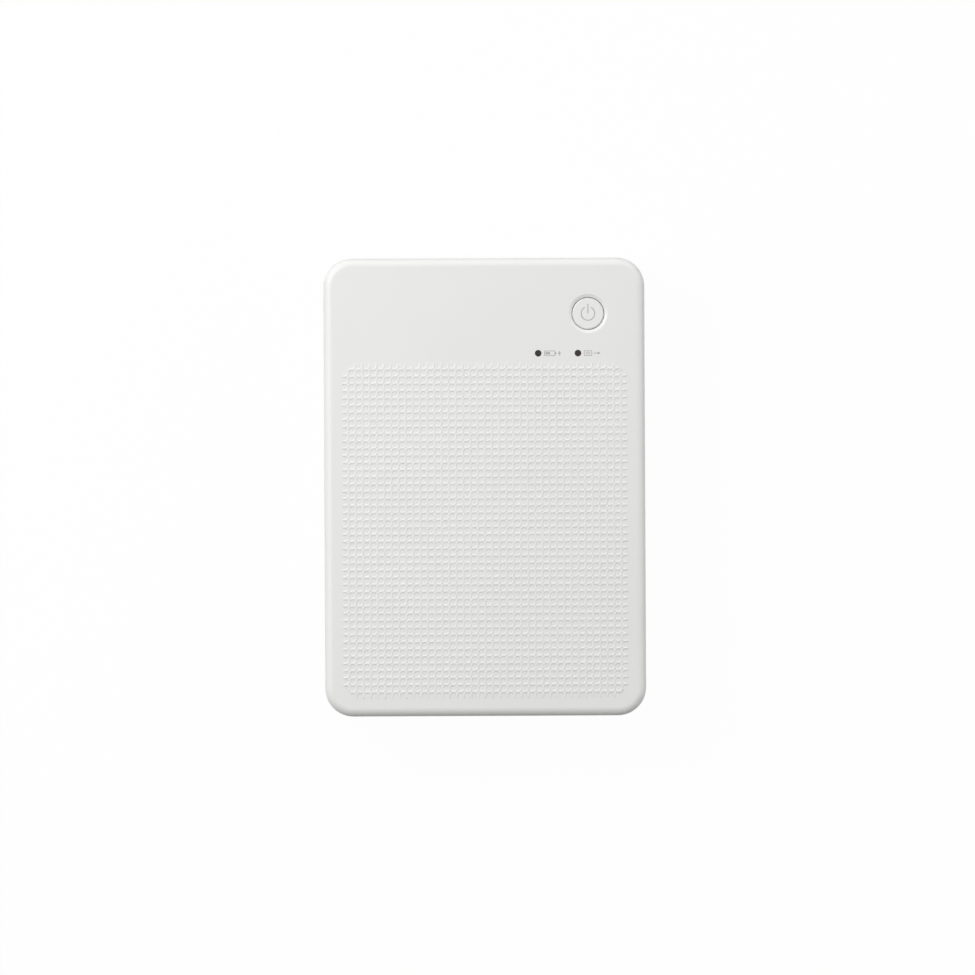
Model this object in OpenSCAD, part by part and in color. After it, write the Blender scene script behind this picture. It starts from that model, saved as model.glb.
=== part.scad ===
// Compact dye-sublimation photo printer: a shallow case with a hinged paper cover.
// Frame: X across the width, Y towards the end where the print comes out, Z up.
// The origin is the centre of the footprint, on the surface that the feet stand on.

/* [Body] */
// Width of the body
body_w = 102.2; // [101:0.1:106]
// Length of the body
body_l = 145.8; // [145:0.1:152]
// Height from the table to the top face
body_h = 32.9; // [32.6:0.1:36]
// Corner radius in plan
corner_r = 9; // [7:0.5:10]
// Rounding of the top edge
edge_r = 2.6; // [1.5:0.1:3]
// Rounding of the bottom edge
base_edge_r = 1.6; // [1:0.1:2]
// Wall of the lower case
wall = 2; // [1.6:0.1:2.2]
// Wall and roof of the paper cover
cover_wall = 1.8; // [1.5:0.1:2]
// Height of the paper cover
cover_h = 6.1; // [5.9:0.1:6.3]
// Gap of the parting line
seam_gap = 0.3; // [0.2:0.05:0.4]
// Height that the feet stand proud
foot_h = 0.8; // [0.5:0.1:1]
// Diameter of a foot
foot_d = 10; // [6:0.5:12]

/* [Cover hinge] */
// Radius of the hinge knuckles
knuckle_r = 4; // [3.8:0.1:4.1]
// Radius of the hinge pins
hinge_pin_r = 1; // [0.8:0.05:1.1]
// Angle that the cover opens to
cover_angle = 70; // [50:5:80]

/* [Controls] */
// Diameter of the power button
button_d = 10.1; // [9:0.1:10.6]
// Gap round the button
button_gap = 0.18; // [0.1:0.01:0.25]
// Distance that the button travels
button_travel = 0.5; // [0.3:0.1:0.5]
// Width of the dished ring round the button
dish_w = 1; // [0.5:0.1:1.4]
// Distance of the button from the right side
button_inset_x = 18; // [17:0.1:20]
// Distance of the button from the far end
button_inset_y = 17.8; // [17:0.1:19]
// Diameter of an indicator lens
lens_d = 2; // [1.5:0.1:2.4]
// Distance from the button to the row of lenses
lens_drop = 12.6; // [12:0.1:13.5]
// Lens positions across, from the button
lens_x = [-15.9, -3.25];

/* [Paper] */
// Thickness of a sheet
paper_t = 0.3; // [0.2:0.05:0.35]
// Height of the output slot
slot_h = 3; // [2:0.1:3.2]
// Floor of the paper tray
tray_floor = 1.5; // [1.2:0.1:1.6]

/* [Print engine] */
// Radius of the platen roller
platen_r = 4; // [3.5:0.1:4.2]
// Radius of the capstan
capstan_r = 3; // [2.6:0.1:3.2]
// Radius of the pinch roller
pinch_r = 2.2; // [1.8:0.1:2.4]
// Radius of the pick roller
pick_r = 4.5; // [4:0.1:4.7]
// Radius of the roller journals
journal_r = 1.5; // [1.2:0.1:1.6]
// Distance that the print head rises
head_lift = 2.7; // [2:0.1:2.8]
// Sheet metal of the side plates
plate_t = 1; // [0.8:0.1:1.2]

/* [Ink cassette] */
// Room beside each side plate for gears and feet
side_room = 6.6; // [6.4:0.1:7]
// Wall of a spool housing
tube_wall = 1.1; // [0.8:0.1:1.2]
// Distance between the two spools
spool_pitch = 27; // [26.6:0.1:27.2]
// Room under a spool housing for the head's floor plate
head_room = 3.2; // [3:0.1:3.4]

/* [Gears] */
// Face width of the gears
gear_w = 2; // [1.5:0.1:2.2]

/* [Hidden] */
$fn = 48;
eps = 0.01;
run_gap = 0.05;   // radial clearance of a turning shaft
fit_gap = 0.02;   // radial clearance of a seated pin
part_gap = 0.3;   // gap between neighbouring mouldings

// ---- Body
hw = body_w / 2;
hl = body_l / 2;
floor_z = foot_h + wall;
seam_z = body_h - cover_h;
case_top = seam_z - seam_gap / 2;
cover_z0 = seam_z + seam_gap / 2;
roof_z = body_h - cover_wall;
inner_hw = hw - wall;
inner_hl = hl - wall;
inner_r = corner_r - wall;
hinge_y = hl - knuckle_r;
hinge_z = seam_z;
ear_t = 3;                                  // thickness of a case ear
moulding_top = case_top - part_gap;         // top of the tray and the deck
moulding_t = 1.2;

// ---- Widths
plate_x = inner_hw - side_room;             // inner face of both side plates
film_w = 2 * plate_x - 9;
paper_w = film_w - 3.9;
tray_hw = paper_w / 2 + 0.5;
slot_hw = paper_w / 2 + 0.75;
ear_x = slot_hw + 0.4;
knuckle_x = ear_x + ear_t + 0.5;            // where the cover's knuckles start
cassette_x0 = -plate_x + 1;
cassette_x1 = inner_hw - 2.6;
bar_x = film_w / 2 + 0.9;
head_hw = film_w / 2 + 0.4;
press_hw = film_w / 2 - 11;
post_x = inner_hw - 6.1;

// ---- Heights
path_z = seam_z - 7.4;                      // underside of a sheet in the tray
tray_under = path_z - tray_floor;
film_t = 0.15;
film_z = path_z - film_t - 0.25;
tube_r = (film_z - 0.2 - floor_z - head_room) / 2;
tube_z = floor_z + head_room + tube_r;
tube_in = tube_r - tube_wall;
bar_t = 2;
roll_r = tube_in - 0.3;
core_r = tube_in / 2 + 0.75;
hub_r = core_r - 0.9;
stud_r = hub_r - 1.1;
pick_z = path_z + 0.4 - pick_r;
capstan_z = path_z - capstan_r;
pinch_z = path_z + paper_t + pinch_r;
platen_z = path_z + paper_t + 0.1 + platen_r;
slot_z = path_z + 0.1;
pivot_z = floor_z + 2.6;
motor_z = (floor_z + tray_under) / 2;
battery_h = (tray_under - floor_z) * 0.6;

// ---- Places along the length, from the output end back to the paper bay
pivot_y = inner_hl - 5.4;
takeup_y = pivot_y - tube_r - 1.9;
supply_y = takeup_y - spool_pitch;
platen_y = (supply_y + takeup_y) / 2;
capstan_y = supply_y - tube_r - 0.8 - capstan_r;
bay_y1 = capstan_y - 3.8;
bay_y0 = -inner_hl + part_gap + moulding_t;
pick_y = bay_y1 - 8;
press_l = 34.5;
press_y = bay_y1 - 2.2 - press_l;
post_ys = [-hl + 12.9, bay_y1 - 30.2];

// ---- Print head
pivot_r = 1.25;
head_arm = pivot_y - platen_y;
ear_z = pivot_z + pivot_r + 2.35;            // foot of the hinge ears, above the carrier's pivot
head_angle = asin(head_lift / head_arm);
head_top = film_z - 0.15 - head_lift;
head_y = platen_y - (head_top - pivot_z) * sin(head_angle) - head_arm * (1 - cos(head_angle));
sink_hw = spool_pitch / 2 - tube_r - 2.3;    // half length of the heat sink, between the tubes
cam_angle = 180;
cam_base = tube_r - 1.4;
lever_t = 1.4;
cam_gap = 0.2;
lever_face = takeup_y + cam_base + cam_gap;
function cam_r(a) = let (t = head_angle * a / cam_angle)
    (pivot_y - takeup_y) * cos(t) + (tube_z - pivot_z) * sin(t) - (pivot_y - lever_face) - cam_gap;

// ---- Gears
bush_r = journal_r + 0.6;                   // radius of a roller's bush
teeth = [12, 16, 13, 16, 22, 22, 22];       // motor, pick, idler 1, capstan, idler 2, idler 3, ribbon
mesh_gap = 0.05;
pick_at = [pick_y, pick_z];
capstan_at = [capstan_y, capstan_z];
ribbon_at = [takeup_y, tube_z];
// the module that lets the two idlers bridge from the capstan to the ribbon drive
gear_m = (norm(ribbon_at - capstan_at) + 0.33) / (teeth[3] / 2 + teeth[4] + teeth[5] + teeth[6] / 2);
gear_x = -plate_x - plate_t - 0.7 - gear_w;
function mesh_d(i, j) = gear_m * (teeth[i] + teeth[j]) / 2 + mesh_gap;
function third(a, b, ra, rb, side) =
    let (d = norm(b - a), t = (ra * ra - rb * rb + d * d) / (2 * d), h = sqrt(max(0, ra * ra - t * t)),
         u = (b - a) / d)
    a + u * t + side * h * [-u[1], u[0]];
// the motor fills the height under the tray, up to the pick shaft's bush
motor_r = min(motor_z - floor_z - 1.55, mesh_d(0, 1) - bush_r - part_gap);
motor_tilt = asin((pick_z - motor_z) / mesh_d(0, 1));
motor_at = pick_at + mesh_d(0, 1) * [-cos(motor_tilt), -sin(motor_tilt)];
idler1_at = third(pick_at, capstan_at, mesh_d(1, 2), mesh_d(2, 3), -1);
train_tilt = heading(capstan_at, ribbon_at) - 8;
idler2_at = capstan_at + mesh_d(3, 4) * [cos(train_tilt), sin(train_tilt)];
idler3_at = third(idler2_at, ribbon_at, mesh_d(4, 5), mesh_d(5, 6), 1);
centres = [motor_at, pick_at, idler1_at, capstan_at, idler2_at, idler3_at, ribbon_at];
function heading(a, b) = atan2(b[1] - a[1], b[0] - a[0]);
function phase(i) = i == 0 ? 0 :
    let (a = heading(centres[i - 1], centres[i]))
    a + 180 - 180 / teeth[i] + (a - phase(i - 1)) * teeth[i - 1] / teeth[i];
foot_ys = [motor_at[0] - 4.5, takeup_y - 0.5];

// ---- Controls
button_x = hw - button_inset_x;
button_y = hl - button_inset_y;
lens_y = button_y - lens_drop;
led_y = lens_y + 5.9;
board_pins = [button_x - 18.6, button_x + 4.6];
board_z = moulding_top + 0.5;
board_t = 0.8;
// the board's edge clears the platen roller, whose top stands higher than the board's underside
board_edge = platen_y + sqrt(max(0, pow(platen_r, 2) - pow(board_z - platen_z, 2))) + part_gap;
switch_h = 1.3;
plunger_h = 0.3;
switch_top = board_z + board_t + switch_h + plunger_h;
flange_t = 0.8;
flange_r = button_d / 2 + 0.75;
flange_z = roof_z - 0.15 - flange_t;
retainer_z = flange_z - 0.8 - 0.8;

// ---- Release slider, ink door and boards
slider_y = -hl + 18.9;
slider_z = seam_z - 9.8;
slider_travel = 4;
catch_gap = 0.1;
door_gap = 0.25;
door_r = 1.2;                               // radius of the door's hinge barrel
rod_r = 0.6;
door_y0 = supply_y - tube_r - 1;
door_y1 = takeup_y + tube_r + 0.4;
door_z0 = floor_z + 0.8;
door_z1 = film_z + 1.4;
rod_x = hw - door_r;
rod_z = door_z0 + door_r;
screw_r = 0.9;
board_x0 = -inner_hw + 9.1;
board_x1 = -4;
board_y0 = -inner_hl + 14.9;
board_y1 = bay_y1 - 30.7;
board_top = floor_z + 3.6;
board_w = board_x1 - board_x0;
board_l = board_y1 - board_y0;
board_xs = [board_x0 + board_w / 6, board_x1 - board_w / 6];
board_ys = [board_y0 + board_l * 0.096, board_y1 - board_l * 0.084];
usb_y = (board_y0 + board_y1) / 2 + 1.25;
usb_z = board_top + 1.6;
battery_x = [3.4, inner_hw - 12.1];
battery_y = [-inner_hl + 8.1, bay_y1 - 24.6];

// ==== Shared shapes

// A solid whose profile, drawn in Y and Z, runs along X from x0 for length l.
module along_x(x0, l) {
    translate([x0, 0, 0]) rotate([90, 0, 90]) linear_extrude(l) children();
}

module xcyl(r, x0, x1, y, z) {
    translate([x0, y, z]) rotate([0, 90, 0]) cylinder(r = r, h = x1 - x0);
}

module ycyl(r, y0, y1, x, z) {
    translate([x, y0, z]) rotate([-90, 0, 0]) cylinder(r = r, h = y1 - y0);
}

module block(x0, x1, y0, y1, z0, z1) {
    translate([x0, y0, z0]) cube([x1 - x0, y1 - y0, z1 - z0]);
}

// A box with round corners in plan.
module round_box(w, l, r, z0, z1) {
    block(-w / 2 + r, w / 2 - r, -l / 2, l / 2, z0, z1);
    block(-w / 2, w / 2, -l / 2 + r, l / 2 - r, z0, z1);
    for (x = [-1, 1], y = [-1, 1])
        translate([x * (w / 2 - r), y * (l / 2 - r), z0]) cylinder(r = r, h = z1 - z0);
}

// The profile of a wall-to-wall section with rounded upper and lower edges.
module edge_section(half, z0, z1, rb, rt) {
    translate([-half, z0 + rb]) square([2 * half, z1 - z0 - rb - rt]);
    translate([-half + rt, z1 - rt - eps]) square([2 * (half - rt), rt + eps]);
    translate([-half + rb, z0]) square([2 * (half - rb), rb + eps]);
    for (s = [-1, 1]) {
        translate([s * (half - rt), z1 - rt]) circle(r = rt);
        translate([s * (half - rb), z0 + rb]) circle(r = rb);
    }
}

// The outer form of the whole body.
module body_form() {
    along_x(-hw + corner_r, body_w - 2 * corner_r)
        edge_section(hl, foot_h, body_h, base_edge_r, edge_r);
    translate([0, hl - corner_r, 0]) rotate([90, 0, 0]) linear_extrude(body_l - 2 * corner_r)
        edge_section(hw, foot_h, body_h, base_edge_r, edge_r);
    for (x = [-1, 1], y = [-1, 1])
        translate([x * (hw - corner_r), y * (hl - corner_r), 0]) rotate_extrude()
            intersection() {
                edge_section(corner_r, foot_h, body_h, base_edge_r, edge_r);
                square([corner_r, body_h]);
            }
}

// A pan-head screw, head at z, shank going down.
module screw(x, y, z, head_r = 1.7, head_h = 0.8, shank = 4) {
    translate([x, y, z]) difference() {
        cylinder(r = head_r, h = head_h);
        for (a = [0, 90]) rotate(a) translate([-head_r * 0.55, -0.2, head_h * 0.4])
            cube([head_r * 1.1, 0.4, head_h]);
    }
    translate([x, y, z - shank]) cylinder(r = screw_r - fit_gap, h = shank + eps);
}

// An involute gear in its own plane: teeth, phase of one tooth, and a bore.
function involute(r, rb) = let (c = acos(min(1, rb / r))) tan(c) * 180 / PI - c;
function tooth(n, m) =
    let (rp = m * n / 2, rb = rp * cos(20), rt = rp + 0.8 * m, rf = rp - 1.1 * m,
         half = 90 / n - 0.06 / rp * 180 / PI + involute(rp, rb),
         rs = [max(rf, 0.5), max(rb, rf + 0.01), (rb + rp) / 2 > rf ? (rb + rp) / 2 : rp, rp, (rp + rt) / 2, rt])
    [for (s = [-1, 1]) [for (i = [0:5]) let (r = s < 0 ? rs[i] : rs[5 - i],
        h = s * (half - involute(r, rb))) [r, h]]];
module gear_2d(n, m, phase) {
    profile = tooth(n, m);
    polygon([for (k = [0:n - 1], s = [0, 1], p = profile[s])
        p[0] * [cos(phase + k * 360 / n + p[1]), sin(phase + k * 360 / n + p[1])]]);
}

// Gear number i of the train, at its shaft, with a boss towards the plate.
module train_gear(i, bore) {
    difference() {
        union() {
            along_x(gear_x, gear_w) translate(centres[i]) gear_2d(teeth[i], gear_m, phase(i));
            xcyl(bore + 1, gear_x, gear_x + gear_w + 0.4, centres[i][0], centres[i][1]);
        }
        if (bore > 0) xcyl(bore, gear_x - 1, gear_x + gear_w + 1, centres[i][0], centres[i][1]);
        if (teeth[i] > 20) for (a = [0:60:300])
            xcyl(1.1, gear_x - 1, gear_x + gear_w + 1,
                 centres[i][0] + 4 * cos(a), centres[i][1] + 4 * sin(a));
    }
}

// A coil spring of round wire along Z, from z = 0 to h.
module coil(r, wire, h, turns, sides = 6, steps = 16) {
    n = turns * steps;
    function at(i, k) = let (a = 360 * i / steps, b = 360 * k / sides, q = r + wire / 2 * cos(b))
        [q * cos(a), q * sin(a), wire / 2 + (h - wire) * i / n + wire / 2 * sin(b)];
    polyhedron(
        points = [for (i = [0:n], k = [0:sides - 1]) at(i, k)],
        faces = concat(
            [[for (k = [0:sides - 1]) k]],
            [[for (k = [sides - 1:-1:0]) n * sides + k]],
            [for (i = [0:n - 1], k = [0:sides - 1]) let (a = i * sides + k, b = i * sides + (k + 1) % sides)
                [a, a + sides, b + sides, b]]));
}

// ==== Casing

// What the cover sweeps as it turns on its hinge, which the case leaves free.
module hinge_clearance(gap) {
    xcyl(knuckle_r + gap, -hw - 1, hw + 1, hinge_y, hinge_z);
    translate([-hw - 1, hinge_y, hinge_z]) rotate([-cover_angle, 0, 0])
        cube([body_w + 2, knuckle_r + gap - 0.08, body_h]);
}

// A case ear that holds one hinge pin.
module case_ear(side) {
    x0 = side > 0 ? ear_x : -ear_x - ear_t;
    boss = knuckle_r - cover_wall - part_gap;
    difference() {
        union() {
            block(x0, x0 + ear_t, hinge_y - knuckle_r + 0.5, hinge_y, ear_z, hinge_z);
            block(x0, x0 + ear_t, hinge_y - eps, inner_hl + eps, ear_z, slot_z + 0.6);
            xcyl(boss, x0, x0 + ear_t, hinge_y, hinge_z);
        }
        xcyl(hinge_pin_r + fit_gap, x0 - 1, x0 + ear_t + 1, hinge_y, hinge_z);
    }
}

module case_posts() {
    for (x = [-post_x, post_x], y = post_ys) difference() {
        union() {
            translate([x, y, floor_z - eps]) cylinder(r = 2.6, h = moulding_top - moulding_t - floor_z);
            block(min(x, sign(x) * (inner_hw + eps)), max(x, sign(x) * (inner_hw + eps)),
                  y - 0.5, y + 0.5, floor_z - eps, moulding_top - 10.4);
        }
        translate([x, y, moulding_top - moulding_t - 8]) cylinder(r = screw_r, h = 9);
    }
}

module foot_places() {
    for (x = [-1, 1], y = [-1, 1]) translate([x * (hw - 12), y * (hl - 12), 0]) children();
}

module case_screw_places() {
    for (x = [-1, 1], y = foot_ys) translate([x * (plate_x + plate_t + 1.8), y, 0]) children();
}

module lower_case() {
    color("#e9e9e7") {
        difference() {
            intersection() {
                body_form();
                block(-hw, hw, -hl, hl, 0, case_top);
            }
            round_box(2 * inner_hw, 2 * inner_hl, inner_r, floor_z, body_h);
            hinge_clearance(part_gap);
            // output slot with a flared mouth
            block(-slot_hw, slot_hw, inner_hl - 1, hl + 1, slot_z - slot_h / 2, slot_z + slot_h / 2);
            // ink door opening and the rod's holes
            block(inner_hw - 1, hw + 1, door_y0, door_y1, door_z0 - door_gap, door_z1 + door_gap);
            ycyl(rod_r + fit_gap, door_y0 - 2, door_y1 + 2, rod_x, rod_z);
            // relief round the first idler
            xcyl(gear_m * (teeth[2] / 2 + 1) + part_gap, gear_x - part_gap, gear_x + gear_w + part_gap,
                 idler1_at[0], idler1_at[1]);
            // socket opening
            translate([0, usb_y, usb_z]) usb_form(0.3, -hw - 1, -inner_hw + 1);
            translate([0, usb_y, usb_z]) usb_form(1.3, -hw - 1, -hw + 0.7);
            // pocket and slot of the release slider
            block(-hw - 1, -hw + 0.9, slider_y - 4, slider_y + 10, slider_z - 3.4, slider_z + 3.4);
            block(-hw - 1, -inner_hw + 1, slider_y - 2.2, slider_y + 7.8, slider_z - 1.7, slider_z + 1.7);
            foot_places() translate([0, 0, foot_h - eps]) cylinder(r = foot_d / 2 + 0.1, h = 0.6);
            case_screw_places() {
                translate([0, 0, foot_h - 1]) cylinder(r = 2, h = 2);
                cylinder(r = screw_r, h = floor_z + 1);
            }
        }
        for (s = [-1, 1]) case_ear(s);
        case_posts();
        for (y = board_ys, x = board_xs) board_post(x, y);
        battery_rails();
        cassette_cradles();
    }
}

module cradle(x, y, half) {
    block(x - 1, x + 1, y - half, y + half, floor_z - eps, tube_z - tube_r * 0.69);
}

// Ribs on the floor that the two spool housings of the cassette lie in.
module cassette_cradles() {
    difference() {
        union() {
            for (s = [-1, 1]) {
                cradle(s * (film_w / 2 - 4), supply_y, tube_r * 0.62);
                cradle(s * (plate_x - 2.3), takeup_y, tube_r * 0.47);
            }
        }
        for (y = [supply_y, takeup_y]) xcyl(tube_r + fit_gap, -hw, hw, y, tube_z);
    }
}

module board_post(x, y) {
    difference() {
        translate([x, y, floor_z - eps]) cylinder(r = 2, h = 2.4 + eps);
        translate([x, y, floor_z]) cylinder(r = screw_r, h = 4);
    }
}

// Ribs that hold the battery pack in place.
module battery_rails() {
    for (y = [battery_y[0] - 1.4, battery_y[1] + 0.2])
        block(battery_x[0], battery_x[1], y, y + 1.2, floor_z - eps, floor_z + 5);
    block(battery_x[0] - 1.4, battery_x[0] - 0.2, battery_y[0] + 3, battery_y[1] - 3, floor_z - eps, floor_z + 5);
}

// A cover knuckle, a disc and the web that joins it to the roof.
module cover_knuckle(side) {
    x0 = side > 0 ? knuckle_x : -hw;
    xcyl(knuckle_r, x0, x0 + hw - knuckle_x, hinge_y, hinge_z);
    block(x0, x0 + hw - knuckle_x, hinge_y - knuckle_r, hl, cover_z0, body_h);
}

module cover_boss(x, y, z) {
    difference() {
        translate([x, y, z]) cylinder(r = 2.2, h = roof_z - z + eps);
        translate([x, y, z - 1]) cylinder(r = screw_r, h = 3);
    }
}

liner_hw = inner_hw - 3.1;
liner_places = [for (x = [-1, 1], y = [-hl + 8.9, bay_y1 - 8.2]) [x * (liner_hw - 5), y]];

module top_cover() {
    color("#ececea") {
        difference() {
            intersection() {
                body_form();
                union() {
                    difference() {
                        block(-hw, hw, -hl, hl, cover_z0, body_h);
                        round_box(body_w - 2 * cover_wall, body_l - 2 * cover_wall,
                                  corner_r - cover_wall, 0, roof_z);
                    }
                    for (s = [-1, 1]) cover_knuckle(s);
                    // the rolled lip that fills the groove behind the case
                    intersection() {
                        difference() {
                            xcyl(knuckle_r, -ear_x + 0.4, ear_x - 0.4, hinge_y, hinge_z);
                            xcyl(knuckle_r - cover_wall, -ear_x, ear_x, hinge_y, hinge_z);
                        }
                        block(-ear_x, ear_x, hinge_y + 0.2, hl, 0, cover_z0 + eps);
                    }
                }
            }
            for (s = [-1, 1])
                xcyl(hinge_pin_r + run_gap, s > 0 ? knuckle_x - 1 : -knuckle_x - 6,
                     s > 0 ? knuckle_x + 6 : -knuckle_x + 1, hinge_y, hinge_z);
            translate([button_x, button_y, roof_z - 1]) cylinder(r = button_d / 2 + button_gap, h = 6);
            translate([button_x, button_y, body_h - 0.45])
                cylinder(r1 = button_d / 2 + button_gap, r2 = button_d / 2 + button_gap + dish_w, h = 0.45 + eps);
            for (x = lens_x) translate([button_x + x, lens_y, roof_z - 1])
                cylinder(r = lens_d / 2 + 0.06, h = 6);
        }
        for (p = liner_places) cover_boss(p[0], p[1], cover_z0 + moulding_t);
        for (s = [-1, 1]) cover_boss(button_x + s * 8, button_y, retainer_z + 0.8);
        cover_catch();
    }
}

// The tab of the cover that the release slider holds.
module cover_catch() {
    x0 = -inner_hw + 0.7;
    block(x0, x0 + 1.2, slider_y - 4, slider_y, case_top - 4.65, roof_z + eps);
    block(x0, x0 + 1.2, slider_y - 1, slider_y + 0.6, case_top - 4.65, case_top - 3.65);
}

module cover_liner() {
    color("#8d8f90") difference() {
        union() {
            block(-liner_hw, liner_hw, -hl + 5, bay_y1 - 4, cover_z0, cover_z0 + moulding_t);
            for (s = [-1, 1]) {
                x = s * (press_hw + 2.2);
                block(x - 0.8, x + 0.8, press_y - 2.6, press_y + 2.6, press_z, cover_z0 + eps);
                xcyl(2.6, x - 0.8, x + 0.8, press_y, press_z);
            }
        }
        xcyl(0.8 + run_gap, -hw, hw, press_y, press_z);
        for (p = liner_places) {
            translate([p[0], p[1], cover_z0 - 1]) cylinder(r = screw_r + 0.1, h = 4);
            translate([p[0], p[1], cover_z0 - 1]) cylinder(r = 1.8, h = 1.6);
        }
        for (x = [-18, 18], y = [-hl + 16.9, -hl + 32.9])
            block(x - 9, x + 9, y - 6, y + 6, cover_z0 + 0.7, cover_z0 + 3);
    }
}

module liner_screws() {
    color("#55585c") for (p = liner_places) translate([p[0], p[1], 0]) mirror([0, 0, 1])
        screw(0, 0, -cover_z0 - 0.6, 1.6, 0.5, 2.4);
}

module hinge_pins() {
    color("#b9bcc0") for (s = [-1, 1]) {
        a = ear_x + 0.1;
        b = knuckle_x + 5.5;
        xcyl(hinge_pin_r, s > 0 ? a : -b, s > 0 ? b : -a, hinge_y, hinge_z);
    }
}

module rubber_feet() {
    color("#3a3b3d") foot_places() rotate_extrude() difference() {
        square([foot_d / 2, foot_h + 0.58]);
        translate([foot_d / 2, 0]) circle(r = 0.4);
    }
}

module case_screws() {
    color("#55585c") case_screw_places() mirror([0, 0, 1]) screw(0, 0, -foot_h - 1, 1.8, 0.7, 2.1);
}

// ==== Controls

module power_button() {
    color("#f4f4f2") translate([button_x, button_y, 0]) {
        difference() {
            union() {
                translate([0, 0, flange_z]) cylinder(r = flange_r, h = flange_t);
                translate([0, 0, flange_z]) cylinder(r = button_d / 2, h = body_h - 0.75 - flange_z);
                translate([0, 0, body_h - 0.75 - eps])
                    cylinder(r1 = button_d / 2, r2 = button_d / 2 - 0.35, h = 0.35 + eps);
                translate([0, 0, switch_top + button_travel + 0.1])
                    cylinder(r = 1.6, h = flange_z - switch_top - button_travel);
            }
            // engraved power mark
            translate([0, 0, body_h - 0.52]) power_mark();
        }
    }
}

module power_mark() {
    difference() {
        cylinder(r = 2.3, h = 1);
        translate([0, 0, -1]) cylinder(r = 2.02, h = 3);
        translate([-0.95, 0, -1]) cube([1.9, 4, 3]);
    }
    translate([-0.14, 0, 0]) cube([0.28, 3.05, 1]);
}

module button_washer() {
    color("#b9bcc0") translate([button_x, button_y, retainer_z + 0.8]) rotate_extrude()
        polygon([[4.2, 0], [4.35, 0], [5.45, 0.62], [5.45, 0.8], [5.3, 0.8], [4.2, 0.16]]);
}

module retainer_screws() {
    color("#55585c") for (s = [-1, 1]) mirror([0, 0, 1])
        screw(button_x + s * 8, button_y, -retainer_z, 1.4, 0.3, 2.4);
}

module button_retainer() {
    color("#d8d8d6") difference() {
        union() {
            block(button_x - 9.8, button_x + 9.8, button_y - 2.2, button_y + 2.2, retainer_z, retainer_z + 0.8);
            translate([button_x, button_y, retainer_z]) cylinder(r = flange_r + 0.2, h = 0.8);
        }
        translate([button_x, button_y, 0]) cylinder(r = 3.8, h = body_h);
        for (s = [-1, 1]) translate([button_x + s * 8, button_y, 0]) cylinder(r = screw_r, h = body_h);
    }
}

module light_guide(x) {
    translate([button_x + x, 0, 0]) {
        translate([0, lens_y, roof_z - 1]) cylinder(r = lens_d / 2, h = cover_wall + 1 - 0.08);
        block(-1.1, 1.1, lens_y - 1.3, led_y + 0.9, roof_z - 1.2, roof_z);
        block(-1.1, 1.1, led_y - 0.9, led_y + 0.9, board_z + board_t + 0.9, roof_z - 1);
    }
}

module charge_light_guide() { color("#4a4b4c") light_guide(lens_x[0]); }
module status_light_guide() { color("#4a4b4c") light_guide(lens_x[1]); }

module control_board() {
    color("#2f6b46") difference() {
        block(button_x - 21, button_x + 7.4, board_edge, button_y + 6, board_z, board_z + board_t);
        for (x = board_pins) translate([x, button_y + 3.5, 0]) cylinder(r = 0.94, h = body_h);
    }
}

module button_switch() {
    color("#2b2c2e") translate([button_x, button_y, board_z + board_t]) {
        translate([-2.3, -2.3, 0]) cube([4.6, 4.6, switch_h]);
        translate([0, 0, switch_h - eps]) cylinder(r = 1.3, h = plunger_h);
    }
}

module indicator_leds() {
    color("#f3efd2") for (x = lens_x)
        block(button_x + x - 0.8, button_x + x + 0.8, led_y - 0.4, led_y + 0.4,
              board_z + board_t, board_z + board_t + 0.6);
}

// The slider that lets the cover go: thumb pad, stem, and the finger beside the cover's catch.
module cover_slider() {
    x0 = -inner_hw + 0.7;
    color("#dededc") {
        difference() {
            block(-hw, -hw + 0.8, slider_y - 3.6, slider_y + 5.6, slider_z - 3, slider_z + 3);
            for (i = [0:4]) block(-hw - 1, -hw + 0.3, slider_y - 2.4 + i * 1.6, slider_y - 1.8 + i * 1.6,
                                   slider_z - 2, slider_z + 2);
        }
        block(-hw + 0.8 - eps, x0 + 1.2, slider_y - 1.6, slider_y + 3.4, slider_z - 1.4, slider_z + 1.4);
        block(x0, x0 + 1.2, slider_y + 0.6 + catch_gap, slider_y + 3.4, slider_z + 1.4 - eps, case_top - 2.65);
    }
}

module ink_door() {
    color("#e9e9e7") difference() {
        union() {
            intersection() {
                body_form();
                block(inner_hw, hw, door_y0 + door_gap, door_y1 - door_gap, rod_z, door_z1);
            }
            ycyl(door_r, door_y0 + door_gap, door_y1 - door_gap, rod_x, rod_z);
            // stiffening ribs and the snap bead at the top edge
            for (y = [supply_y, platen_y, takeup_y])
                block(inner_hw - 0.8, inner_hw + eps, y - 0.5, y + 0.5, rod_z + 2, door_z1 - 1.5);
            block(inner_hw - 0.5, inner_hw + eps, platen_y - 6, platen_y + 6, door_z1 - 1.2, door_z1 - 0.5);
        }
        ycyl(rod_r + run_gap, door_y0, door_y1, rod_x, rod_z);
        // finger notch
        ycyl(3.2, platen_y - 7, platen_y + 7, hw + 2.4, door_z1 + 0.6);
    }
}

module ink_door_rod() {
    color("#b9bcc0") ycyl(rod_r, door_y0 - 1.8, door_y1 + 1.8, rod_x, rod_z);
}

// ==== Paper bay
press_z = moulding_top - 1.2;
press_angle = 6;
tyre_x = [-film_w * 0.197, film_w * 0.197];
tyre_w = 9;

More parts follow.
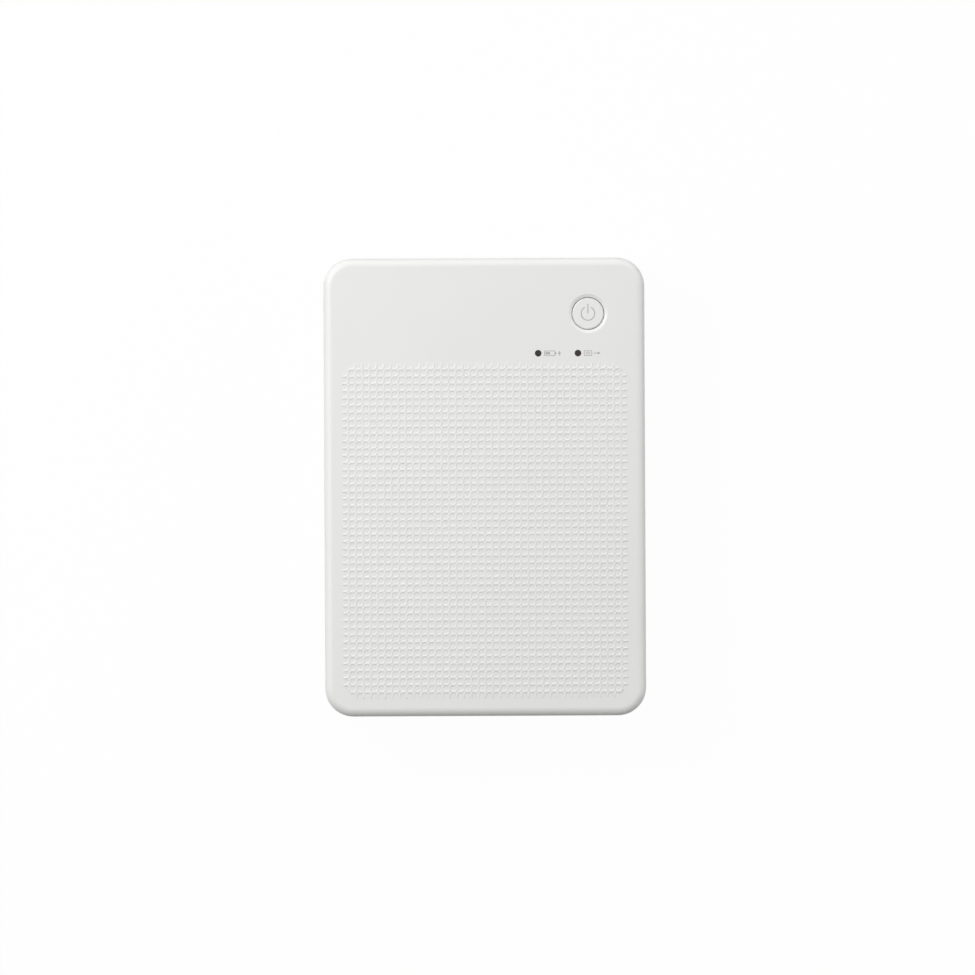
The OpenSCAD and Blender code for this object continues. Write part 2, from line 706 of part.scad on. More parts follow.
module paper_tray() {
    flange_z0 = moulding_top - moulding_t;
    color("#5b5e61") difference() {
        union() {
            intersection() {
                round_box(2 * inner_hw - 2 * part_gap, 2 * inner_hl - 2 * part_gap, inner_r - part_gap,
                          flange_z0, moulding_top);
                block(-hw, hw, -hl, bay_y1, 0, body_h);
            }
            block(-tray_hw - moulding_t, tray_hw + moulding_t, bay_y0 - moulding_t, bay_y1,
                  tray_under, moulding_top);
        }
        block(-tray_hw, tray_hw, bay_y0, bay_y1 + 1, path_z, body_h);
        for (x = tyre_x) block(x - tyre_w / 2 - 0.6, x + tyre_w / 2 + 0.6,
                               pick_y - 4.6, pick_y + 4.6, 0, path_z + 1);
        for (x = [-post_x, post_x], y = post_ys) translate([x, y, 0]) {
            cylinder(r = screw_r + 0.1, h = body_h);
            translate([0, 0, moulding_top - 0.6]) cylinder(r = 2, h = 2);
        }
        block(-hw, -inner_hw + 2.6, slider_y - 4.6, slider_y + 9, 0, body_h);
        // thumb notches for lifting the sheets
        mid = (bay_y0 + bay_y1) / 2;
        for (s = [-1, 1]) block(s * tray_hw - 3, s * tray_hw + 3, mid - 11.4, mid + 4.6, path_z + 1.5, body_h);
    }
}

module tray_screws() {
    color("#55585c") for (x = [-post_x, post_x], y = post_ys) screw(x, y, moulding_top - 0.6, 1.8, 0.55, 6);
}

module pressure_plate() {
    color("#6b6e71") translate([0, press_y, press_z]) rotate([-press_angle, 0, 0]) {
        difference() {
            union() {
                block(-press_hw, press_hw, 0, press_l, -0.6, 0.6);
                for (s = [-1, 1]) {
                    x = s * (press_hw + 0.5);
                    block(x - 0.6, x + 0.6, -1.2, 8, -1.2, 0.9);
                }
                for (x = [-20, 0, 20]) block(x - 0.5, x + 0.5, 3, 31, 0.6 - eps, 1);
            }
            for (x = [-10, 10], y = [10, 18]) translate([x, y, -2]) cylinder(r = 2.4, h = 4);
        }
        for (s = [-1, 1]) xcyl(0.8, s > 0 ? press_hw + 1 : -press_hw - 2.8, s > 0 ? press_hw + 2.8 : -press_hw - 1, 0, 0);
    }
}

module pressure_pad() {
    color("#a98f6a") translate([0, press_y, press_z]) rotate([-press_angle, 0, 0])
        block(-press_hw + 5, press_hw - 5, press_l - 9.5, press_l - 1.5, -1.3, -0.6);
}

spring_at = [[-15, 26], [15, 26]];

module pressure_springs() {
    color("#b9bcc0") for (p = spring_at) {
        z0 = press_z + 0.65 - p[1] * sin(press_angle);
        translate([p[0], press_y + p[1], z0]) coil(2.2, 0.4, cover_z0 - z0, 3);
    }
}

// ==== Print engine

deck_screw_ys = [bay_y1 + 10.5, takeup_y + 1];

module deck_screw_places() {
    for (x = [-1, 1], y = deck_screw_ys) translate([x * (plate_x - 2.1), y, 0]) children();
}

module mechanism_deck() {
    z0 = moulding_top - moulding_t;
    color("#5b5e61") difference() {
        union() {
            block(-inner_hw + part_gap, inner_hw - part_gap, bay_y1 + part_gap, hinge_y - knuckle_r - 1.4,
                  z0, moulding_top);
            for (x = board_pins) translate([x, button_y + 3.5, moulding_top - eps]) {
                cylinder(r = 1.7, h = board_z - moulding_top + eps);
                cylinder(r = 0.9, h = board_z + board_t - moulding_top + 0.3);
            }
            // paper guide ribs under the deck
            for (i = [-2:2]) let (x = i * film_w * 0.197)
                block(x - 0.6, x + 0.6, platen_y + 7, hinge_y - knuckle_r - 1.4, path_z + 1.4, z0 + eps);
        }
        block(-plate_x - 3, plate_x + 3, platen_y - 5.5, platen_y + 5.5, 0, body_h);
        deck_screw_places() {
            cylinder(r = screw_r + 0.1, h = body_h);
            translate([0, 0, moulding_top - 0.6]) cylinder(r = 2, h = 2);
        }
        for (i = [1, 2, 3, 5, 6, 7]) let (x = (i / 4 - 2) * film_w * 0.197)
            block(x - 1.1, x + 1.1, platen_y + 9.5, platen_y + 15.5, z0 - 1, z0 + 3);
    }
}

module deck_screws() {
    color("#55585c") deck_screw_places() screw(0, 0, moulding_top - 0.6, 1.8, 0.55, 1.5);
}

// One side plate, drawn at x = 0 to plate_t, with its foot on the outer side.
module side_plate(x0, out, window) {
    z1 = moulding_top - moulding_t;
    foot = out > 0 ? [plate_t, plate_t + 3.6] : [-3.6, 0];
    tab = out > 0 ? [-4.2, 0] : [plate_t, plate_t + 4.2];
    translate([x0, 0, 0]) difference() {
        union() {
            block(0, plate_t, motor_at[0] - 8, takeup_y + 5, floor_z, z1);
            block(0, plate_t, takeup_y, pivot_y + 3.4, floor_z, pivot_z + 6);
            block(0, plate_t, platen_y - 4.4, platen_y + 4.4, z1 - eps, platen_z + 1.2);
            xcyl(3.8, 0, plate_t, platen_y, platen_z + 0.2);
            for (y = foot_ys) block(foot[0] - eps, foot[1] + eps, y - 3.5, y + 3.5, floor_z, floor_z + 1);
            for (y = deck_screw_ys)
                block(tab[0] - eps, tab[1] + eps, y - 3, y + 3, z1 - 1, z1);
        }
        roller_holes(-1, plate_t + 1);
        xcyl(pivot_r + run_gap, -1, plate_t + 1, pivot_y, pivot_z);
        if (window) {
            cassette_window();
        } else {
            xcyl(2.2 + run_gap, -1, plate_t + 1, takeup_y, tube_z);
            xcyl(2.2, -1, plate_t + 1, motor_at[0], motor_at[1]);
            for (c = [idler1_at, idler2_at, idler3_at]) xcyl(1.2 + fit_gap, -1, plate_t + 1, c[0], c[1]);
            // weight-saving hole
            xcyl(3, -1, plate_t + 1, platen_y - 1, 7.5);
        }
        for (y = deck_screw_ys)
            translate([tab[0] + 2.1, y, z1 - 3]) cylinder(r = screw_r, h = 4);
        for (y = foot_ys) translate([out > 0 ? plate_t + 1.8 : -1.8, y, 0]) cylinder(r = screw_r, h = 6);
    }
}

module cassette_window() {
    for (y = [supply_y, takeup_y]) xcyl(tube_r + 0.5, -1, plate_t + 1, y, tube_z);
    block(-1, plate_t + 1, supply_y - tube_r + 1, takeup_y + tube_r - 1, tube_z - 3.4, film_z + 0.6);
    block(-1, plate_t + 1, supply_y, takeup_y, floor_z + 3, film_z + 0.6);
}

module roller_holes(x0, x1) {
    for (c = [[pick_y, pick_z], [capstan_y, capstan_z], [capstan_y, pinch_z], [platen_y, platen_z]])
        xcyl(bush_r + fit_gap, x0, x1, c[0], c[1]);
}

module left_plate() { color("#c3c6c9") side_plate(-plate_x - plate_t, -1, false); }
module right_plate() { color("#c3c6c9") side_plate(plate_x, 1, true); }

module roller_bushes() {
    color("#e8e4d6") for (s = [-1, 1],
                          c = [[pick_y, pick_z, 0], [capstan_y, capstan_z, 0], [capstan_y, pinch_z, 1], [platen_y, platen_z, 0]]) {
        x0 = s > 0 ? plate_x - 0.4 : -plate_x - plate_t;
        difference() {
            xcyl(bush_r, x0, x0 + plate_t + 0.4, c[0], c[1]);
            xcyl((c[2] > 0 ? 1 : journal_r) + run_gap, x0 - 1, x0 + plate_t + 2, c[0], c[1]);
        }
    }
}

module pick_shaft() {
    color("#c3c6c9") xcyl(journal_r, gear_x - 0.3, plate_x + plate_t + 1, pick_y, pick_z);
    color("#c3c6c9") for (x = tyre_x) xcyl(pick_r - 1.4, x - tyre_w / 2, x + tyre_w / 2, pick_y, pick_z);
    color("#e8e4d6") train_gear(1, 0);
}

module pick_tyres() {
    color("#2f3032") for (x = tyre_x) difference() {
        xcyl(pick_r, x - tyre_w / 2, x + tyre_w / 2, pick_y, pick_z);
        xcyl(pick_r - 1.4, x - tyre_w, x + tyre_w, pick_y, pick_z);
        for (a = [0:30:330])
            translate([x, pick_y, pick_z]) rotate([a, 0, 0]) block(-tyre_w, tyre_w, -0.2, 0.2, pick_r - 0.3, pick_r + 1);
    }
}

module capstan() {
    color("#c3c6c9") {
        xcyl(capstan_r, -film_w / 2, film_w / 2, capstan_y, capstan_z);
        xcyl(journal_r, gear_x - 0.3, plate_x + plate_t + 1, capstan_y, capstan_z);
    }
    color("#e8e4d6") train_gear(3, 0);
}

module pinch_roller() {
    color("#2f3032") xcyl(pinch_r, -film_w / 2 + 3, film_w / 2 - 3, capstan_y, pinch_z);
    color("#c3c6c9") xcyl(1, -plate_x - plate_t - 0.6, plate_x + plate_t + 0.6, capstan_y, pinch_z);
}

module platen_shaft() {
    color("#c3c6c9") {
        xcyl(journal_r, -plate_x - plate_t - 0.8, plate_x + plate_t + 0.8, platen_y, platen_z);
        xcyl(platen_r - 1.5, -plate_x + 2, plate_x - 2, platen_y, platen_z);
    }
}

module platen_rubber() {
    color("#2f3032") difference() {
        xcyl(platen_r, -film_w / 2, film_w / 2, platen_y, platen_z);
        xcyl(platen_r - 1.5, -film_w, film_w, platen_y, platen_z);
    }
}

module feed_motor() {
    color("#a9adb1") difference() {
        union() {
            xcyl(motor_r, -plate_x, -plate_x + 13.6, motor_at[0], motor_at[1]);
            xcyl(motor_r - 1.6, -plate_x + 13.6 - eps, -plate_x + 15, motor_at[0], motor_at[1]);
            block(-plate_x, -plate_x + 0.8, motor_at[0] - motor_r - 1.4, motor_at[0] + 4.4,
                  motor_at[1] - motor_r + 1, motor_at[1] + motor_r - 1);
        }
        xcyl(0.8 + run_gap, -plate_x - 1, -plate_x + 4, motor_at[0], motor_at[1]);
    }
}

module motor_pinion() {
    color("#d4b45a") train_gear(0, 0.79);
    color("#b9bcc0") xcyl(0.8, gear_x - 0.4, -plate_x + 3.6, motor_at[0], motor_at[1]);
}

module idler_gear_1() { color("#e8e4d6") train_gear(2, 1.2 + run_gap); }
module idler_gear_2() { color("#e8e4d6") train_gear(4, 1.2 + run_gap); }
module idler_gear_3() { color("#e8e4d6") train_gear(5, 1.2 + run_gap); }

module idler_studs() {
    color("#b9bcc0") for (c = [idler1_at, idler2_at, idler3_at]) {
        xcyl(1.2, gear_x - 0.31, -plate_x + 0.2, c[0], c[1]);
        xcyl(1.8, gear_x - 0.8, gear_x - 0.3, c[0], c[1]);
    }
}

// The take-up drive: gear, shaft through the plate, and the dogs that turn the spool.
module ribbon_drive() {
    color("#e8e4d6") {
        train_gear(6, 0);
        xcyl(2.2, gear_x, cassette_x0 - 0.3, takeup_y, tube_z);
        xcyl(stud_r, gear_x - 2.2, cassette_x0 + 2.6, takeup_y, tube_z);
        for (a = [0, 120, 240]) translate([0, takeup_y, tube_z]) rotate([a, 0, 0])
            block(cassette_x0 - 0.3 - eps, cassette_x0 + 2.6, -0.4, 0.4, 0, hub_r - 0.65);
    }
}

// A cam whose rise keeps the lever turning in step with it.
module head_cam() {
    x1 = gear_x - 0.3;
    color("#e8e4d6") difference() {
        along_x(x1 - lever_t, lever_t) translate([takeup_y, tube_z])
            polygon([for (a = [0:10:350]) let (b = min(a, cam_angle + 40), r = a <= cam_angle + 40 ?
                cam_r(min(b, cam_angle)) : cam_r(cam_angle) + (cam_r(0) - cam_r(cam_angle)) * (a - cam_angle - 40) / (320 - cam_angle))
                r * [cos(a), sin(a)]]);
        xcyl(stud_r + run_gap, x1 - 3, x1 + 1, takeup_y, tube_z);
    }
}

// The carrier: floor plate, pivot shaft, upturned sides, and the lever that the cam pushes.
module head_carrier() {
    y0 = head_y - 5.4;
    color("#c3c6c9") {
        block(-head_hw, head_hw, y0, pivot_y - 2, pivot_z - 2, pivot_z - 1);
        for (s = [-1, 1]) block(s * (head_hw - 1.5) - 1.5, s * (head_hw - 1.5) + 1.5,
                                pivot_y - 2.1, pivot_y, pivot_z - 2, pivot_z + 0.4);
        xcyl(pivot_r, gear_x - 0.3 - lever_t, plate_x + plate_t + 1, pivot_y, pivot_z);
        difference() {
            block(gear_x - 0.3 - lever_t, gear_x - 0.3, lever_face, lever_face + 2.4, pivot_z - 1, tube_z + 4);
            block(gear_x - 3, gear_x + 1, pivot_y + 2.2, pivot_y + 9, 0, body_h);
        }
        block(gear_x - 0.3 - lever_t, gear_x - 0.3, lever_face, pivot_y + 1.6, pivot_z - 1.6, pivot_z + 1.6);
    }
}

module heat_sink() {
    z0 = pivot_z - 1;
    color("#aeb2b6") difference() {
        block(-head_hw, head_hw, head_y - sink_hw, head_y + sink_hw, z0, head_top - 1.8);
        for (i = [0:2]) for (y = [head_y - sink_hw - 1, head_y + sink_hw - 1.6])
            block(-head_hw - 1, head_hw + 1, y, y + 2.6, z0 + 1.4 + i * 2.8, z0 + 2.9 + i * 2.8);
    }
}

module head_board() {
    color("#d9cdb4") {
        block(-head_hw + 0.4, head_hw - 0.4, head_y - sink_hw + 0.2, head_y + sink_hw - 0.2,
              head_top - 1.8, head_top - 0.6);
        xcyl(0.6, -film_w / 2 + 1, film_w / 2 - 1, head_y, head_top - 0.6);
    }
}

// ==== Ink cassette

module cassette_shell() {
    z1 = tube_z + tube_r;
    color("#77797b") difference() {
        union() {
            for (y = [supply_y, takeup_y]) xcyl(tube_r, cassette_x0, cassette_x1, y, tube_z);
            block(cassette_x0, -bar_x, supply_y, takeup_y, z1 - bar_t, z1);
            block(bar_x, cassette_x1, supply_y, takeup_y, z1 - bar_t, z1);
            block(cassette_x1 - 1.2, cassette_x1, supply_y, takeup_y, tube_z - 1, z1);
            // finger pull
            block(cassette_x1 - eps, cassette_x1 + 1.4, platen_y - 5, platen_y + 5, z1 - 3.2, z1 - 2);
        }
        for (y = [supply_y, takeup_y]) {
            xcyl(tube_in, cassette_x0 + 1.2, cassette_x1 - 1.2, y, tube_z);
            xcyl(hub_r + run_gap, cassette_x0 - 1, cassette_x1 + 1, y, tube_z);
        }
        // slots that let the film out, towards the window
        block(-bar_x, bar_x, supply_y + 1.5, supply_y + tube_r + 1, tube_z + 1.2, z1 + 1);
        block(-bar_x, bar_x, takeup_y - tube_r - 1, takeup_y - 1.5, tube_z + 1.2, z1 + 1);
    }
}

module spool(y, driven) {
    difference() {
        union() {
            xcyl(core_r, cassette_x0 + 1.6, cassette_x1 - 1.6, y, tube_z);
            xcyl(hub_r, cassette_x0 + 0.1, cassette_x1 - 0.1, y, tube_z);
            for (x = [cassette_x0 + 1.6, cassette_x1 - 2.8]) xcyl(tube_in - 0.25, x, x + 1.2, y, tube_z);
        }
        xcyl(hub_r - 0.8, cassette_x0 - 1, cassette_x0 + 4, y, tube_z);
        if (driven) for (a = [0, 120, 240]) translate([0, y, tube_z]) rotate([a, 0, 0])
            block(cassette_x0 - 1, cassette_x0 + 4, -0.7, 0.7, 0, hub_r - 0.35);
    }
}

module supply_spool() { color("#d8d8d6") spool(supply_y, false); }
module takeup_spool() { color("#d8d8d6") spool(takeup_y, true); }

module film_roll(y, r) {
    difference() {
        xcyl(r, -film_w / 2, film_w / 2, y, tube_z);
        xcyl(core_r, -film_w, film_w, y, tube_z);
    }
}

module supply_roll() { color("#7a5a86") film_roll(supply_y, roll_r); }
module takeup_roll() { color("#7a5a86") film_roll(takeup_y, core_r + 0.8); }

// The stretch of film between the spools.
module ink_film() {
    a = [supply_y + roll_r * cos(60), tube_z + roll_r * sin(60)];
    b = [takeup_y - (core_r + 0.8) * cos(60), tube_z + (core_r + 0.8) * sin(60)];
    color("#8a6a96") along_x(-film_w / 2, film_w) polygon([
        a + [0.17, 0.3], [supply_y + tube_r, film_z], [takeup_y - tube_r, film_z], b + [-0.17, 0.3],
        b + [-0.17, 0.5], [takeup_y - tube_r + 0.1, film_z + film_t], [supply_y + tube_r - 0.1, film_z + film_t],
        a + [0.17, 0.5]]);
}

// ==== Electronics

module main_board() {
    z0 = board_top - 1.2;
    color("#2f6b46") difference() {
        union() {
            block(board_x0, board_x1, board_y0, board_y1, z0, z0 + 1.2);
            block(-inner_hw + 1.4, board_x0 + 1, usb_y - 7, usb_y + 7, z0, z0 + 1.2);
        }
        for (y = board_ys, x = board_xs) translate([x, y, 0]) cylinder(r = 1, h = 20);
    }
}

module board_screws() {
    color("#55585c") for (y = board_ys, x = board_xs) screw(x, y, board_top, 1.7, 0.6, 3);
}

// A part of height h, sized and placed in shares of the board's width and length.
module board_part(fx, fy, fw, fl, h) {
    x = board_x0 + fx * board_w;
    y = board_y0 + fy * board_l;
    block(x - fw * board_w / 2, x + fw * board_w / 2, y - fl * board_l / 2, y + fl * board_l / 2,
          board_top, board_top + h);
}
module board_parts() {
    color("#303235") {
        board_part(0.46, 0.45, 0.36, 0.313, 1.2);
        board_part(0.84, 0.26, 0.195, 0.18, 1);
        board_part(0.35, 0.76, 0.417, 0.072, 4.6);
        for (i = [0:2]) translate([board_x0 + 0.82 * board_w, board_y0 + (0.566 + i * 0.106) * board_l, board_top])
            cylinder(r = 0.046 * board_l, h = 6);
        for (fy = [0.17, 0.25]) board_part(0.42, fy, 0.11, 0.043, 0.9);
    }
    color("#c3c6c9") board_part(0.82, 0.45, 0.195, 0.072, 1.6);
}

// The rounded slot form of the socket, grown by g, between two x positions.
module usb_form(g, x0, x1) {
    w = 8.9 / 2 - 1.6;
    for (s = [-1, 1]) xcyl(1.6 + g, x0, x1, s * w, 0);
    block(x0, x1, -w, w, -1.6 - g, 1.6 + g);
}

module usb_socket() {
    color("#b9bcc0") translate([0, usb_y, usb_z]) difference() {
        usb_form(0, -inner_hw - 0.9, -inner_hw + 6.4);
        usb_form(-0.3, -hw, -inner_hw + 5.4);
    }
    color("#2b2c2e") translate([0, usb_y, usb_z]) block(-inner_hw + 0.2, -inner_hw + 5.5, -3.1, 3.1, -0.35, 0.35);
}

module battery_pack() {
    mid = (battery_y[0] + battery_y[1]) / 2;
    color("#43484d") {
        for (y = [[battery_y[0], mid - 0.3], [mid + 0.3, battery_y[1]]])
            block(battery_x[0], battery_x[1], y[0], y[1], floor_z, floor_z + battery_h);
        block(battery_x[0] + 0.6, battery_x[1] - 0.6, mid - 1, mid + 1, floor_z + 1, floor_z + battery_h - 1);
    }
}

lower_case();
top_cover();
cover_liner();
liner_screws();
hinge_pins();
rubber_feet();
case_screws();
power_button();
button_washer();
button_retainer();
retainer_screws();
charge_light_guide();
status_light_guide();
cover_slider();
ink_door();
ink_door_rod();
paper_tray();
tray_screws();
pressure_plate();
pressure_pad();
pressure_springs();
mechanism_deck();
deck_screws();
left_plate();
right_plate();
roller_bushes();
pick_shaft();
pick_tyres();
capstan();
pinch_roller();
platen_shaft();
platen_rubber();
feed_motor();
motor_pinion();
idler_gear_1();
idler_gear_2();
idler_gear_3();
idler_studs();
ribbon_drive();
head_cam();
head_carrier();
heat_sink();
head_board();
cassette_shell();
supply_spool();
takeup_spool();
supply_roll();
takeup_roll();
ink_film();
main_board();
board_screws();
board_parts();
usb_socket();
battery_pack();
control_board();
button_switch();
indicator_leds();
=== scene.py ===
"""Looks of a compact photo printer, built round its packed mechanical frame.

Shapes are given in millimetres, which the bench's functions turn into metres. Finishes are
given in metres. Every object lies in the frame of the CAD model.
"""

import logging
import math
from dataclasses import dataclass
from enum import Enum
from functools import cache
from typing import Callable, Iterable

import bpy
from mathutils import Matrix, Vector


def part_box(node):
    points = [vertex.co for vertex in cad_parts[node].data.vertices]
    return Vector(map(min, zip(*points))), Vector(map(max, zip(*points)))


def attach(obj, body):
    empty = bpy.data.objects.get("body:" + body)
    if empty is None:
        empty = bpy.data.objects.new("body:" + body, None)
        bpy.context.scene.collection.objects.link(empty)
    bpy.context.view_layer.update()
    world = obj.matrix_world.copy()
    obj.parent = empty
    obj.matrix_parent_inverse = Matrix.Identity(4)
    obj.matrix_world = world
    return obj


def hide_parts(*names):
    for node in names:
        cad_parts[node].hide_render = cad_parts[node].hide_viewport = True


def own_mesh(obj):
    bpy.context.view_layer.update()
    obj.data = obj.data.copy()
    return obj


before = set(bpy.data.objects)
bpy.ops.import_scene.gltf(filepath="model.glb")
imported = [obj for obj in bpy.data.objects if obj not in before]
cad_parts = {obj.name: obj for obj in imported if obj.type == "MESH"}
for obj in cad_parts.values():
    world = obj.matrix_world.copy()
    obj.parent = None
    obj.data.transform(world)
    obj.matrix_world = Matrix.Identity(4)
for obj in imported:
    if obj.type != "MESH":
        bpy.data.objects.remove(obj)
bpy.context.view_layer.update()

LOG = logging.getLogger("photo_printer")
MM = 0.001  # metres
MERGED = 1e-6  # points nearer than this, in metres, become one
ON_PLANE = 1e-7  # points nearer than this, in metres, lie on a cutting plane
Colour = tuple[float, float, float]
Point = tuple[float, float, float]
Pair = tuple[float, float]
Piece = bpy.types.Object
Socket = bpy.types.NodeSocket
X_WAY, Y_WAY, Z_WAY = (1.0, 0.0, 0.0), (0.0, 1.0, 0.0), (0.0, 0.0, 1.0)
UPRIGHT = (math.pi / 2, 0.0, 0.0)  # stands a lying outline up, across the width
NEAR = 0.001  # points nearer than this, in millimetres, are at a place
FACING = 0.95  # a face whose normal has this share of an axis points along it


# ---------------------------------------------------------------- bench work


class Kind(Enum):
    """What a selection in edit mode is made of."""

    VERT = "VERT"
    EDGE = "EDGE"
    FACE = "FACE"


def mm(*values: float) -> tuple[float, ...]:
    """Turns millimetres into metres."""
    return tuple(value * MM for value in values)


def put_down() -> None:
    """Leaves edit mode and deselects every object."""
    if bpy.context.object and bpy.context.object.mode != "OBJECT":
        bpy.ops.object.mode_set(mode="OBJECT")
    bpy.ops.object.select_all(action="DESELECT")


def take(piece: Piece) -> None:
    """Makes one object the only selected and the active one.

    Args:
        piece: The object.
    """
    put_down()
    piece.select_set(True)
    bpy.context.view_layer.objects.active = piece


def edit(piece: Piece, kind: Kind = Kind.FACE, action: str = "DESELECT") -> None:
    """Opens an object in edit mode.

    Args:
        piece: The object to open.
        kind: The kind of element that selections are made of.
        action: SELECT starts with everything selected, DESELECT with nothing.
    """
    take(piece)
    bpy.ops.object.mode_set(mode="EDIT")
    bpy.ops.mesh.select_mode(type=kind.value)
    bpy.ops.mesh.select_all(action=action)


def cleared(piece: Piece) -> bpy.types.Mesh:
    """Leaves edit mode with nothing selected in the mesh.

    Args:
        piece: The object that is open in edit mode.

    Returns:
        Its mesh.
    """
    bpy.ops.object.mode_set(mode="OBJECT")
    for elements in (piece.data.vertices, piece.data.edges, piece.data.polygons):
        elements.foreach_set("select", [False] * len(elements))
    return piece.data


def pick_faces(piece: Piece, test: Callable[[Vector, Vector], bool]) -> None:
    """Selects the faces that pass a test, in edit mode.

    Args:
        piece: The object that is open in edit mode.
        test: Takes a face's centre, in millimetres, and its normal; says whether to
            select it.
    """
    for face in cleared(piece).polygons:
        face.select = test(face.center / MM, face.normal)
    bpy.ops.object.mode_set(mode="EDIT")
    bpy.ops.mesh.select_mode(type=Kind.FACE.value)


def pick_points(piece: Piece, test: Callable[[Vector], bool], kind: Kind = Kind.VERT) -> None:
    """Selects the vertices that pass a test, in edit mode.

    Args:
        piece: The object that is open in edit mode.
        test: Takes a vertex's place, in millimetres, and says whether to select it.
        kind: The kind of element that the selection is turned into.
    """
    for point in cleared(piece).vertices:
        point.select = test(point.co / MM)
    bpy.ops.object.mode_set(mode="EDIT")
    bpy.ops.mesh.select_mode(type=Kind.VERT.value)
    if kind is not Kind.VERT:
        bpy.ops.mesh.select_mode(type=kind.value)


def push(x: float = 0.0, y: float = 0.0, z: float = 0.0) -> None:
    """Moves what is selected in edit mode."""
    bpy.ops.transform.translate(value=mm(x, y, z))


def scale(share: Point, about: Point) -> None:
    """Scales what is selected in edit mode about a point."""
    bpy.ops.transform.resize(value=share, center_override=mm(*about))


def inset(thickness: float, depth: float = 0.0, **settings: bool) -> None:
    """Insets the selected faces and moves them along their normals."""
    bpy.ops.mesh.inset(thickness=thickness * MM, depth=depth * MM, **settings)


def draw_out(x: float = 0.0, y: float = 0.0, z: float = 0.0) -> None:
    """Extrudes what is selected in edit mode and moves it."""
    bpy.ops.mesh.extrude_region_move(TRANSFORM_OT_translate={"value": mm(x, y, z)})


def cut(through: Point, normal: Point, **settings: bool) -> None:
    """Cuts all of the open mesh along a plane.

    Args:
        through: A point of the plane.
        normal: The plane's normal.
        **settings: What else the operator does, such as closing the cut.
    """
    bpy.ops.mesh.select_all(action="SELECT")
    bpy.ops.mesh.bisect(plane_co=mm(*through), plane_no=normal, threshold=ON_PLANE, **settings)


def face_out(piece: Piece) -> None:
    """Makes the faces agree in direction, outwards where the mesh is closed.

    Args:
        piece: The object.
    """
    edit(piece, action="SELECT")
    bpy.ops.mesh.normals_make_consistent(inside=False)
    put_down()


def turn_out(piece: Piece) -> None:
    """Merges doubles and makes every face of a closed mesh point outwards.

    Args:
        piece: The object.
    """
    edit(piece, action="SELECT")
    bpy.ops.mesh.remove_doubles(threshold=MERGED)
    bpy.ops.mesh.normals_make_consistent(inside=False)
    put_down()


def face_up(piece: Piece) -> None:
    """Flips a flat mesh that faces down.

    Args:
        piece: The object.
    """
    put_down()
    if piece.data.polygons[0].normal.z < 0.0:
        edit(piece, action="SELECT")
        bpy.ops.mesh.flip_normals()
        put_down()


def soften(piece: Piece, offset: float, segments: int = 2) -> None:
    """Bevels every edge of an object.

    Args:
        piece: The object.
        offset: The bevel's width.
        segments: How many segments the bevel has.
    """
    edit(piece, Kind.EDGE, "SELECT")
    bpy.ops.mesh.bevel(offset=offset * MM, segments=segments, affect="EDGES")
    put_down()


def spin(piece: Piece, steps: int, angle: float) -> None:
    """Spins all of the open section about the vertical through the origin and turns it out.

    Args:
        piece: The section, open in edit mode.
        steps: How many steps the turn has.
        angle: The turn in radians.
    """
    bpy.ops.mesh.select_all(action="SELECT")
    bpy.ops.mesh.spin(steps=steps, angle=angle, center=(0.0, 0.0, 0.0), axis=(0.0, 0.0, 1.0))
    turn_out(piece)


def grow(piece: Piece, modifier: str, **settings: object) -> None:
    """Adds a modifier to an object and applies it.

    Args:
        piece: The object to change.
        modifier: The modifier's type.
        **settings: Values for the modifier's properties.
    """
    take(piece)
    bpy.ops.object.modifier_add(type=modifier)
    added = piece.modifiers[-1]
    for name, value in settings.items():
        setattr(added, name, value)
    bpy.ops.object.modifier_apply(modifier=added.name)


def repeat(piece: Piece, count: int, step: Point, **settings: object) -> None:
    """Repeats an object's mesh in a row.

    Args:
        piece: The object.
        count: How many copies the row has.
        step: From one copy to the next.
        **settings: Other values for the Array modifier.
    """
    grow(piece, "ARRAY", count=count, use_relative_offset=False, use_constant_offset=True,
         constant_offset_displace=mm(*step), **settings)


def plate_piece(size: Pair, place: Point, turn: Point = (0.0, 0.0, 0.0)) -> Piece:
    """Adds a flat plate.

    Args:
        size: Its two sides.
        place: Its middle.
        turn: Its turn from lying flat.

    Returns:
        The new object, with its place applied.
    """
    put_down()
    bpy.ops.mesh.primitive_plane_add(size=1.0, location=mm(*place), rotation=turn)
    bpy.context.object.scale = (*mm(*size), 1.0)
    bpy.ops.object.transform_apply()
    return bpy.context.object


def box_piece(low: Point, high: Point) -> Piece:
    """Adds a box.

    Args:
        low: The lowest corner.
        high: The highest corner.

    Returns:
        The new object, with its place applied.
    """
    put_down()
    middle = mm(*((a + b) / 2 for a, b in zip(low, high)))
    bpy.ops.mesh.primitive_cube_add(size=1.0, location=middle)
    bpy.context.object.scale = mm(*(b - a for a, b in zip(low, high)))
    bpy.ops.object.transform_apply()
    return bpy.context.object


def rod_piece(start: Point, length: float, radius: float, sides: int, along_x: bool = True
              ) -> Piece:
    """Adds a cylinder along x or z.

    Args:
        start: The centre of its lower end.
        length: Its length.
        radius: Its radius.
        sides: How many sides it has.
        along_x: Whether it lies along x and doesn't stand.

    Returns:
        The new object, with its place applied.
    """
    put_down()
    way = Vector(mm(length, 0.0, 0.0) if along_x else mm(0.0, 0.0, length))
    bpy.ops.mesh.primitive_cylinder_add(
        vertices=sides, radius=radius * MM, depth=way.length, location=Vector(mm(*start)) + way / 2,
        rotation=way.to_track_quat("Z", "Y").to_euler())
    bpy.ops.object.transform_apply()
    return bpy.context.object


